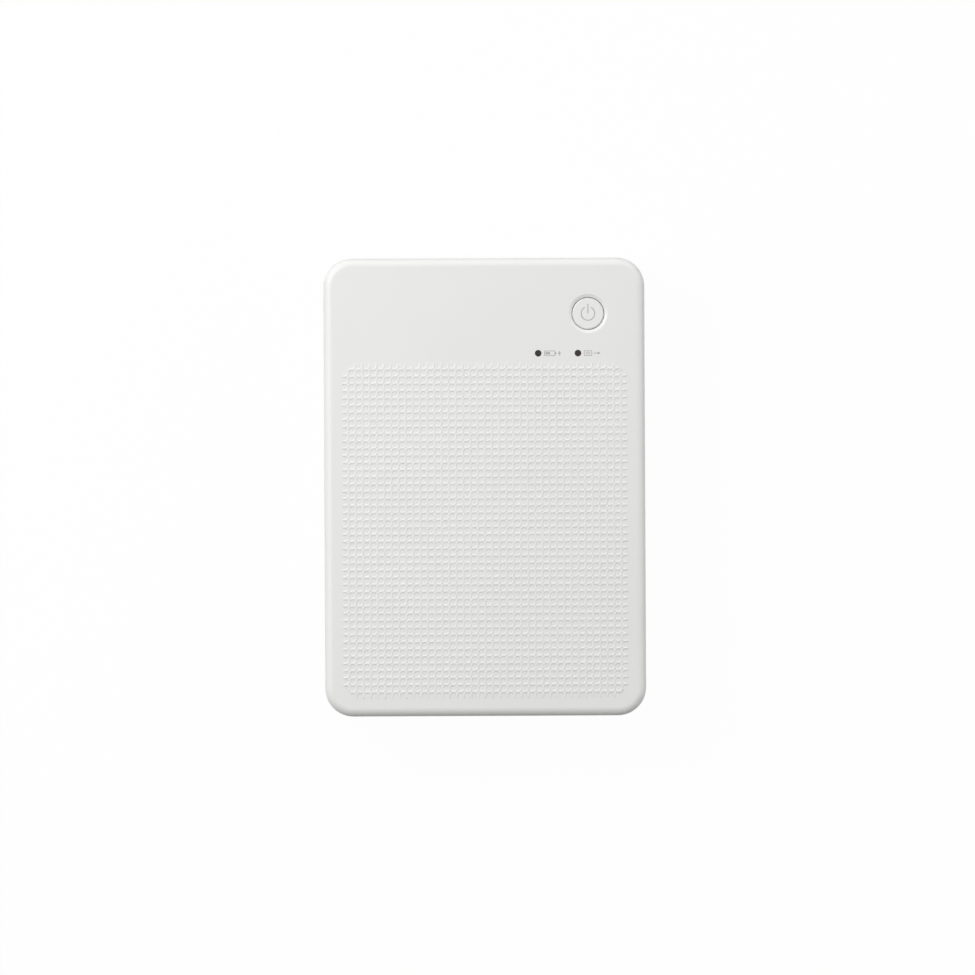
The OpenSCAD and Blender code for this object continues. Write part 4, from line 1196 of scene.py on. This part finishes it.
@dataclass
class Springs:
    """The springs that give way with a joint: two coils and the button's wave washer.

    Attributes:
        wire: The radius of the coils' wire.
        coil: The radius of the coils, to the middle of the wire.
        turns: How many turns a coil has.
        steps: How many steps a turn of a coil has.
        band: The width of the washer's band.
        thin: The washer's thickness.
        rays: How many steps the washer has round its middle.
    """

    wire: float = 0.2
    coil: float = 2.2
    turns: int = 5
    steps: int = 28
    band: float = 1.25
    thin: float = 0.16
    rays: int = 48

    def coils(self) -> None:
        """Models the two coil springs with the Screw modifier and closes their ends."""
        low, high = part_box("pressure_springs")
        reach = (self.coil + self.wire) * MM
        springs = []
        for x in (low[0] + reach, high[0] - reach):
            spring = disc_piece(10, self.wire, (self.coil, 0.0, 0.0), UPRIGHT, fill="NOTHING")
            bpy.ops.object.transform_apply()
            grow(spring, "SCREW", axis="Z", angle=2 * math.pi * self.turns,
                 screw_offset=high[2] - low[2] - 2 * self.wire * MM,
                 steps=self.steps * self.turns, render_steps=self.steps * self.turns,
                 use_smooth_shade=True)
            edit(spring, Kind.EDGE)
            bpy.ops.mesh.select_non_manifold(
                extend=False, use_wire=False, use_boundary=True, use_multi_face=False,
                use_non_contiguous=False, use_verts=False)
            bpy.ops.mesh.fill_holes(sides=12)
            turn_out(spring)
            spring.location = (x, (low[1] + high[1]) / 2, low[2] + self.wire * MM)
            springs.append(spring)
        both = fit(springs, "coil_springs", Stock.STEEL, "cover", angle=60.0)
        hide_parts("pressure_springs")
        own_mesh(both)

    def washer(self) -> None:
        """Models the wave washer by spinning its section and lifting it in three waves."""
        low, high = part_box("button_washer")
        outer = (high[0] - low[0]) / 2 / MM
        ring = plate_piece((self.band, self.thin), (outer - self.band / 2, 0.0, self.thin / 2),
                           UPRIGHT)
        edit(ring, action="SELECT")
        bpy.ops.mesh.delete(type="ONLY_FACE")
        spin(ring, self.rays, 2 * math.pi)
        rise = ((high[2] - low[2]) / MM - self.thin) / 2
        for ray in range(self.rays):
            angle = 2 * math.pi * ray / self.rays
            edit(ring, Kind.VERT)
            pick_points(ring, lambda p: math.cos(math.atan2(p.y, p.x) - angle)
                        > math.cos(math.pi / self.rays / 2))
            push(z=rise * (1.0 + math.sin(3 * angle)))
        put_down()
        ring.location = ((low[0] + high[0]) / 2, (low[1] + high[1]) / 2, low[2])
        fit([ring], "wave_washer", Stock.STEEL, "cover", angle=60.0)
        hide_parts("button_washer")
        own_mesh(ring)

    def build(self) -> None:
        """Builds the springs and the washer."""
        self.coils()
        self.washer()


@dataclass
class Circuits:
    """The tracks, legs and small soldered parts of the control board and the main board.

    Attributes:
        control: The height of the control board's face.
        main: The height of the main board's face.
        part: The length, width and height of a small part.
        track: The width and thickness of a copper track, half of it sunk in the board.
        leg: The width and thickness of a chip's leg.
    """

    control: float = 27.65
    main: float = 6.4
    part: Point = (1.1, 0.8, 0.42)
    track: Pair = (0.24, 0.04)
    leg: Pair = (0.34, 0.1)

    def core(self) -> Piece:
        """Models the body of a small part, with softened edges.

        Returns:
            The body, on the origin.
        """
        length, width, height = self.part
        body = box_piece((-length / 2, -width / 2, 0.0), (length / 2, width / 2, height))
        soften(body, 0.04)
        return body

    def ends(self) -> Piece:
        """Models the two soldered ends of a small part, flared where they wet the pad.

        Returns:
            Both ends, round the origin.
        """
        length, width, height = self.part
        cap, over = 0.32, 0.03
        halves = []
        for sign in (-1.0, 1.0):
            near, far = sorted((sign * (length / 2 - cap), sign * (length / 2 + over)))
            end = box_piece((near, -width / 2 - over, 0.0), (far, width / 2 + over, height + over))
            edit(end, Kind.VERT)
            pick_points(end, lambda p: p.z < over and p.x * sign > length / 2)
            push(x=sign * 0.24)
            soften(end, 0.03)
            halves.append(end)
        return joined(halves)

    def small_parts(self, name: str, places: list[Point], top: float, stock: Stock
                    ) -> None:
        """Places small soldered parts on a board.

        Args:
            name: The name that the parts' pieces start with.
            places: Each part's x and y, and its turn in degrees.
            top: The height of the board's face.
            stock: The finish of the parts' bodies.
        """
        fit(copies(self.core(), places, top), f"{name}_bodies", stock)
        fit(copies(self.ends(), places, top), f"{name}_solder", Stock.TIN)

    def legs(self, count: int, pitch: float, reach: float, seat: float, places: list[Point],
             top: float) -> list[Piece]:
        """Sets rows of bent legs round a chip: out of the body, down, and along their pads.

        Args:
            count: How many legs a row has.
            pitch: From one leg to the next.
            reach: From the chip's middle to its side.
            seat: The height at which a leg leaves the body.
            places: The chip's middle and a row's turn in degrees, for each row.
            top: The height of the board's face.

        Returns:
            The rows.
        """
        width, thick = self.leg
        row = plate_piece((width, 0.4), (-pitch * (count - 1) / 2, reach - 0.1, seat))
        edit(row, Kind.EDGE)
        pick_points(row, lambda p: p.y > reach, Kind.EDGE)
        drop = seat - thick / 2 - 0.01
        for y, share in ((0.1, 0.15), (0.08, 0.7), (0.12, 0.15), (0.4, 0.0)):
            draw_out(y=y, z=-share * drop)
        put_down()
        grow(row, "SOLIDIFY", thickness=thick * MM, offset=0.0)
        repeat(row, count, (pitch, 0.0, 0.0))
        return copies(row, places, top)

    def tracks(self, name: str, bands: list[tuple], top: float) -> None:
        """Models bands of parallel tracks that run along y with slanting steps.

        Args:
            name: The piece's name.
            bands: For each band where its first track begins, the moves of its route, the first
                of them along y, how many tracks lie side by side, and from one to the next.
            top: The height of the board's face.
        """
        width, thick = self.track
        made = []
        for start, moves, count, pitch in bands:
            band = plate_piece((width, width), (*start, top))
            edit(band, Kind.EDGE)
            pick_points(band, lambda p: (p.y - start[1]) * moves[0][1] > 0.0, Kind.EDGE)
            for x, y in moves:
                draw_out(x, y)
            face_out(band)
            face_up(band)
            grow(band, "SOLIDIFY", thickness=thick * MM, offset=0.0)
            repeat(band, count, (pitch, 0.0, 0.0))
            made.append(band)
        fit(made, name, Stock.COPPER)

    def chip(self, low: Point, high: Point) -> Piece:
        """Models a resin package: its walls lean in above and below its legs.

        Args:
            low: Its lowest corner.
            high: Its highest corner.

        Returns:
            The package.
        """
        body = box_piece(low, high)
        centre = [(a + b) / 2 for a, b in zip(low, high)]
        edit(body)
        cut(centre, Z_WAY)
        pick_faces(body, lambda c, n: abs(n.z) > FACING)
        share = 1.0 - 0.16 / (high[0] - low[0])
        scale((share, share, 1.0), centre)
        pick_faces(body, lambda c, n: n.z > FACING)
        inset(0.05)
        push(z=-0.01)
        put_down()
        return body

    def control_board(self) -> None:
        """Builds what is soldered on the control board, under the button and the lights."""
        top = self.control
        self.small_parts("control_resistors", [
            (20.3, 50.4, 90.0), (21.7, 50.4, 90.0), (26.4, 50.2, 90.0), (33.1, 50.6, 0.0),
            (35.2, 50.6, 0.0), (37.9, 54.6, 90.0), (39.2, 54.6, 90.0)], top, Stock.CHIP)
        self.small_parts("control_capacitors", [
            (13.6, 52.0, 90.0), (13.6, 54.0, 90.0), (22.0, 55.4, 0.0), (28.9, 54.2, 90.0),
            (28.9, 56.4, 90.0), (35.6, 60.0, 0.0)], top, Stock.CERAMIC)
        fit([self.chip((16.1, 51.6, 27.7), (20.0, 56.6, 28.2))], "driver_chip", Stock.CHIP)
        fit(self.legs(4, 1.2, 1.95, 0.3, [(18.05, 54.1, 90.0), (18.05, 54.1, -90.0)], top),
            "driver_legs", Stock.TIN)
        self.tracks("control_tracks", [
            ((15.6, 47.6), ((0.0, 2.0), (-1.2, 1.2), (0.0, 6.4)), 2, 0.55),
            ((22.9, 48.0), ((0.0, 2.6), (0.8, 0.8), (0.0, 6.6)), 4, 0.55),
            ((31.3, 59.8), ((0.0, -1.0), (-1.0, -1.0), (0.0, -6.4)), 2, 0.55),
            ((36.1, 48.2), ((0.0, 3.6), (0.5, 0.5), (0.0, 2.2)), 3, 0.55),
            ((15.9, 60.0), ((0.0, -1.4), (0.6, -0.6), (0.0, -0.8)), 5, 0.55)], top)

    def cable_socket(self, low: Pair, high: Pair) -> None:
        """Builds the low socket of the control board's ribbon cable, with its contacts.

        Args:
            low: Its lowest x and y.
            high: Its highest x and y.
        """
        top = self.control
        shell = box_piece((*low, top), (*high, top + 0.62))
        edit(shell)
        pick_faces(shell, lambda c, n: n.y < -FACING)
        inset(0.16)
        draw_out(y=1.1)
        edit(shell, Kind.EDGE)
        pick_points(shell, lambda p: not low[0] + 0.01 < p.x < high[0] - 0.01, Kind.EDGE)
        bpy.ops.mesh.bevel(offset=0.07 * MM, segments=2, affect="EDGES")
        put_down()
        fit([shell], "cable_socket", Stock.GEAR)
        place = ((low[0] + high[0]) / 2, low[1] + 0.9, 180.0)
        fit(self.legs(14, 0.55, 1.2, 0.2, [place], top), "cable_contacts", Stock.GOLD)

    def main_board(self) -> None:
        """Builds what is soldered on the main board, round its chips and connectors."""
        top = self.main
        legs = []
        for count, pitch, reach, seat, x, y, turns in (
                (14, 0.82, 6.48, 0.6, -23.44, -37.32, (0.0, 90.0, 180.0, 270.0)),
                (5, 1.27, 3.5, 0.55, -9.76, -45.21, (90.0, -90.0)),
                (7, 2.0, 1.5, 0.5, -27.4, -24.46, (0.0, 180.0))):
            legs += self.legs(count, pitch, reach, seat, [(x, y, turn) for turn in turns], top)
        fit(legs, "board_legs", Stock.TIN)
        self.small_parts("board_resistors", [
            *((-38.3, -43.0 + 1.9 * step, 0.0) for step in range(8)),
            *((-30.6 + 1.7 * step, -47.0, 90.0) for step in range(2)),
            *((-17.6, -51.0 + 1.7 * step, 0.0) for step in range(4))], top, Stock.CHIP)
        self.small_parts("board_capacitors", [
            *((-33.6, -42.6 + 2.1 * step, 0.0) for step in range(6)),
            *((-28.6 + 2.0 * step, -28.6, 90.0) for step in range(5)),
            *((-14.4, -35.2 + 1.8 * step, 0.0) for step in range(3)),
            (-36.0, -25.0, 90.0), (-37.8, -25.0, 90.0)], top, Stock.CERAMIC)
        self.tracks("board_tracks", [
            ((-36.4, -45.4), ((0.0, 4.0), (0.8, 0.8), (0.0, 15.6)), 3, 0.55),
            ((-26.6, -48.0), ((0.0, -1.6), (1.0, -1.0), (0.0, -4.0)), 8, 0.55),
            ((-20.6, -22.4), ((0.0, 2.0), (2.0, 2.0), (0.0, 2.6)), 6, 0.55),
            ((-12.6, -40.6), ((0.0, 1.2), (-0.6, 0.6), (0.0, 1.4)), 9, 0.6),
            ((-31.0, -22.2), ((0.0, 1.6), (-1.6, 1.6), (0.0, 3.0)), 5, 0.55),
            ((-31.8, -54.6), ((0.0, 2.4), (1.2, 1.2), (0.0, 2.2)), 4, 0.55)], top)

    def cans(self) -> None:
        """Builds the clock crystal's can and the scored tops of the three tall capacitors."""
        can = box_piece((-14.03, -38.85, self.main), (-6.93, -35.79, self.main + 1.66))
        soften(can, 0.35, segments=4)
        edit(can)
        pick_faces(can, lambda c, n: n.z > FACING)
        inset(0.25)
        push(z=0.05)
        put_down()
        fit([can], "crystal_can", Stock.TIN)
        caps = []
        x, top, score = -10.48, 12.38, 0.07
        for share in (0.566, 0.672, 0.778):
            y = -56.0 + 41.5 * share
            cap = rod_piece((x, y, top), 0.1, 1.6, 32, along_x=False)
            edit(cap)
            for normal in (X_WAY, Y_WAY):
                for side in (-score, score):
                    cut((x + side, y + side, top), normal)
            pick_faces(cap, lambda c, n: n.z > FACING and min(abs(c.x - x), abs(c.y - y)) > score)
            draw_out(z=0.08)
            put_down()
            caps.append(cap)
        fit(caps, "capacitor_tops", Stock.ALUMINIUM)

    def power_socket(self) -> None:
        """Builds the pale housing of the main board's connector, with a window per contact."""
        low, high, windows = (-34.98, -26.01, self.main + 0.7), (-19.82, -22.91, self.main + 5.1), 7
        shell = box_piece(low, high)
        edit(shell)
        for wall in range(1, windows):
            cut((low[0] + (high[0] - low[0]) * wall / windows, low[1], low[2]), X_WAY)
        pick_faces(shell, lambda c, n: n.z > FACING)
        inset(0.45, use_individual=True)
        draw_out(z=-0.52)
        put_down()
        fit([shell], "power_socket", Stock.GEAR)

    def build(self) -> None:
        """Builds both boards' small parts."""
        self.control_board()
        self.cable_socket((22.6, 58.6), (31.4, 60.7))
        self.main_board()
        self.cans()
        self.power_socket()


@dataclass
class Fittings:
    """The charging socket's tongue, the feed motor's end, the spools' hubs and the tray's ribs.

    Attributes:
        port: The middle of the charging socket, y and z.
        tongue: The front and the back end of its tongue, along x.
        motor: The axis of the feed motor, y and z.
        plug: The start and the end of the motor's plastic end, along x.
        tray: The height of the tray's floor.
        hub: The end of the cassette's spools, along x, and the height of their axes.
        spools: The place of each spool's axis along y, by the body that turns.
    """

    port: Pair = (-34.0, 8.0)
    tongue: Pair = (-49.0, -43.6)
    motor: Pair = (1.367, 10.35)
    plug: Pair = (-28.8, -27.3)
    tray: float = 19.4
    hub: Pair = (46.35, 12.395)
    spools: tuple[tuple[str, float], ...] = (("supply", 30.2), ("takeup", 57.2))

    def port_tongue(self) -> None:
        """Models the socket's plastic tongue and the gold contacts on both its faces."""
        (y, z), (front, back) = self.port, self.tongue
        tongue = box_piece((front, y - 3.16, z - 0.4), (back, y + 3.16, z + 0.4))
        edit(tongue)
        pick_faces(tongue, lambda c, n: n.x < -FACING)
        draw_out(x=-0.2)
        scale((1.0, 0.95, 0.6), (front, y, z))
        put_down()
        fit([tongue], "port_tongue", Stock.CHIP)
        strip = box_piece((front + 0.5, y - 2.92, z + 0.37), (back - 0.5, y - 2.68, z + 0.43))
        edit(strip)
        pick_faces(strip, lambda c, n: n.z > FACING)
        inset(0.03)
        push(z=0.01)
        put_down()
        repeat(strip, 12, (0.0, 0.51, 0.0))
        edit(strip, action="SELECT")
        bpy.ops.mesh.duplicate()
        scale((1.0, 1.0, -1.0), (front, y, z))
        turn_out(strip)
        fit([strip], "port_contacts", Stock.GOLD)

    def motor_end(self) -> None:
        """Models the plastic end of the feed motor, its bearing boss and its two terminals."""
        (y, z), (start, end) = self.motor, self.plug
        cap = rod_piece((start, y, z), end - start, 4.46, 48)
        edit(cap)
        pick_faces(cap, lambda c, n: n.x > FACING)
        inset(0.5)
        push(x=0.25)
        inset(2.2)
        draw_out(x=0.7)
        inset(0.5)
        draw_out(x=-0.5)
        put_down()
        fit([cap], "motor_end", Stock.CHIP)
        tabs = []
        for sign in (-1.0, 1.0):
            side = z + sign * 3.1
            tab = box_piece((end - 0.2, y - 0.6, side - 0.15), (end + 1.2, y + 0.6, side + 0.15))
            edit(tab)
            pick_faces(tab, lambda c, n: n.x > FACING)
            draw_out(x=0.5, z=sign * 0.15)
            scale((1.0, 0.6, 1.0), (end, y, side))
            soften(tab, 0.04)
            tabs.append(tab)
        fit(tabs, "motor_terminals", Stock.BRASS)

    def spool_hubs(self) -> None:
        """Models the cup and the winding cross on the outer end of each spool."""
        x, z = self.hub
        for body, y in self.spools:
            cup = rod_piece((x, y, z), 0.5, 1.75, 36)
            edit(cup)
            pick_faces(cup, lambda c, n: n.x > FACING)
            inset(0.32)
            draw_out(x=-0.35)
            parts = [cup]
            for wide, tall in ((1.5, 0.24), (0.24, 1.5)):
                bar = box_piece((x, y - wide, z - tall), (x + 0.4, y + wide, z + tall))
                soften(bar, 0.05)
                parts.append(bar)
            fit(parts, f"{body}_hub", Stock.GEAR, body)

    def tray_ribs(self) -> None:
        """Models the low rounded ribs that the sheets slide on."""
        ribs = []
        for x in (-36.0, -12.0, 12.0, 36.0):
            rib = box_piece((x - 0.6, -60.0, self.tray - 0.05), (x + 0.6, -4.0, self.tray + 0.3))
            edit(rib, Kind.EDGE)
            pick_points(rib, lambda p: p.z > self.tray, Kind.EDGE)
            bpy.ops.mesh.bevel(offset=0.26 * MM, segments=4, affect="EDGES")
            edit(rib)
            pick_faces(rib, lambda c, n: abs(n.y) > FACING)
            scale((1.0, 1.05, 1.0), (x, -32.0, self.tray))
            put_down()
            ribs.append(rib)
        fit(ribs, "tray_ribs", Stock.DARK)

    def build(self) -> None:
        """Builds every fitting."""
        self.port_tongue()
        self.motor_end()
        self.spool_hubs()
        self.tray_ribs()


# ---------------------------------------------------------------- stage


@dataclass
class Studio:
    """The floor, the lights and the camera.

    Attributes:
        aim: The point above the floor that the camera looks down on.
        distance: From the camera to that point.
        width: The width of the view at that point.
        roll: The camera's turn about its line of sight, in degrees.
    """

    aim: Point = (0.86, -0.14, 32.0)
    distance: float = 3000.0
    width: float = 310.4
    roll: float = -0.27

    def camera(self) -> None:
        """Adds the camera, straight above the printer."""
        put_down()
        x, y, z = self.aim
        bpy.ops.object.camera_add(location=mm(x, y, z + self.distance),
                                  rotation=(0.0, 0.0, math.radians(self.roll)))
        camera = bpy.context.object
        camera.name = "view_camera"
        camera.data.sensor_width = 36.0
        camera.data.lens = camera.data.sensor_width * self.distance / self.width
        camera.data.clip_start, camera.data.clip_end = 0.05, 20.0
        bpy.context.scene.camera = camera

    def lamp(self, name: str, place: Point, size: Pair, power: float) -> None:
        """Adds a rectangular soft light that faces the printer.

        Args:
            name: The light's name.
            place: Where it hangs.
            size: Its width and height.
            power: Its power in watts.
        """
        put_down()
        turn = Vector(place).to_track_quat("Z", "Y").to_euler()
        bpy.ops.object.light_add(type="AREA", location=mm(*place), rotation=turn)
        light = bpy.context.object
        light.name = name
        light.data.shape = "RECTANGLE"
        light.data.size, light.data.size_y = mm(*size)
        light.data.energy = power

    def seen(self, wire: Wire) -> Socket:
        """Marks the rays that come from the camera, a mirror or glass.

        Args:
            wire: The Wire on the tree.

        Returns:
            A socket that is 1 for those rays and 0 for the rest.
        """
        path = wire.node("LightPath").outputs
        seen = wire.math("MAXIMUM", path["Is Camera Ray"], path["Is Transmission Ray"])
        return wire.math("MAXIMUM", seen, path["Is Glossy Ray"])

    def floor(self) -> None:
        """Adds the pale floor, which shows white and keeps a soft shadow."""
        put_down()
        bpy.ops.mesh.primitive_plane_add(size=9.0, location=mm(0.0, 0.0, -0.02))
        ground = bpy.context.object
        ground.name = ground.data.name = "floor"
        material = bpy.data.materials.new("pale_floor")
        material.use_nodes = True
        material.node_tree.nodes.clear()
        wire = Wire(material.node_tree)
        lit = wire.node("BsdfDiffuse", Color=(0.22, 0.22, 0.22, 1.0)).outputs[0]
        white = wire.node("Emission", Strength=1.08).outputs[0]
        share = wire.math("MULTIPLY", self.seen(wire), 0.9)
        wire.node("OutputMaterial", wire.node("MixShader", share, lit, white).outputs[0])
        ground.data.materials.append(material)

    def world(self) -> None:
        """Gives the world a low even light that shows white."""
        scene = bpy.context.scene
        if scene.world is None:
            bpy.ops.world.new()
            scene.world = bpy.data.worlds[-1]
        scene.world.use_nodes = True
        scene.world.node_tree.nodes.clear()
        wire = Wire(scene.world.node_tree)
        dim = wire.node("Background", Color=(1.0, 1.0, 0.97, 1.0), Strength=0.2).outputs[0]
        white = wire.node("Background", Color=(1.0, 1.0, 1.0, 1.0), Strength=1.0).outputs[0]
        wire.node("OutputWorld", wire.node("MixShader", self.seen(wire), dim, white).outputs[0])

    def build(self) -> None:
        """Builds the stage and sets the plain view transform."""
        bpy.context.scene.view_settings.view_transform = "Standard"
        self.camera()
        self.floor()
        self.world()
        wall = (1400.0, 850.0)
        self.lamp("key_light", (-620.0, 300.0, 800.0), (400.0, 400.0), 6.45)
        self.lamp("left_wall", (-950.0, 100.0, 420.0), wall, 2.3)
        self.lamp("right_wall", (950.0, 100.0, 420.0), wall, 5.1)
        self.lamp("back_wall", (0.0, 1000.0, 420.0), wall, 4.5)


def main() -> None:
    """Builds the stage, dresses the CAD nodes and models the new pieces."""
    logging.basicConfig(level=logging.INFO, format="%(name)s: %(message)s")
    Studio().build()
    for stock, nodes in CAD_FINISHES.items():
        for name in nodes:
            coat(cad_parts[name], stock)
    for assembly in (CoverLattice, Controls, Springs, Circuits, Fittings):
        assembly().build()
    put_down()


if __name__ == "__main__":
    main()
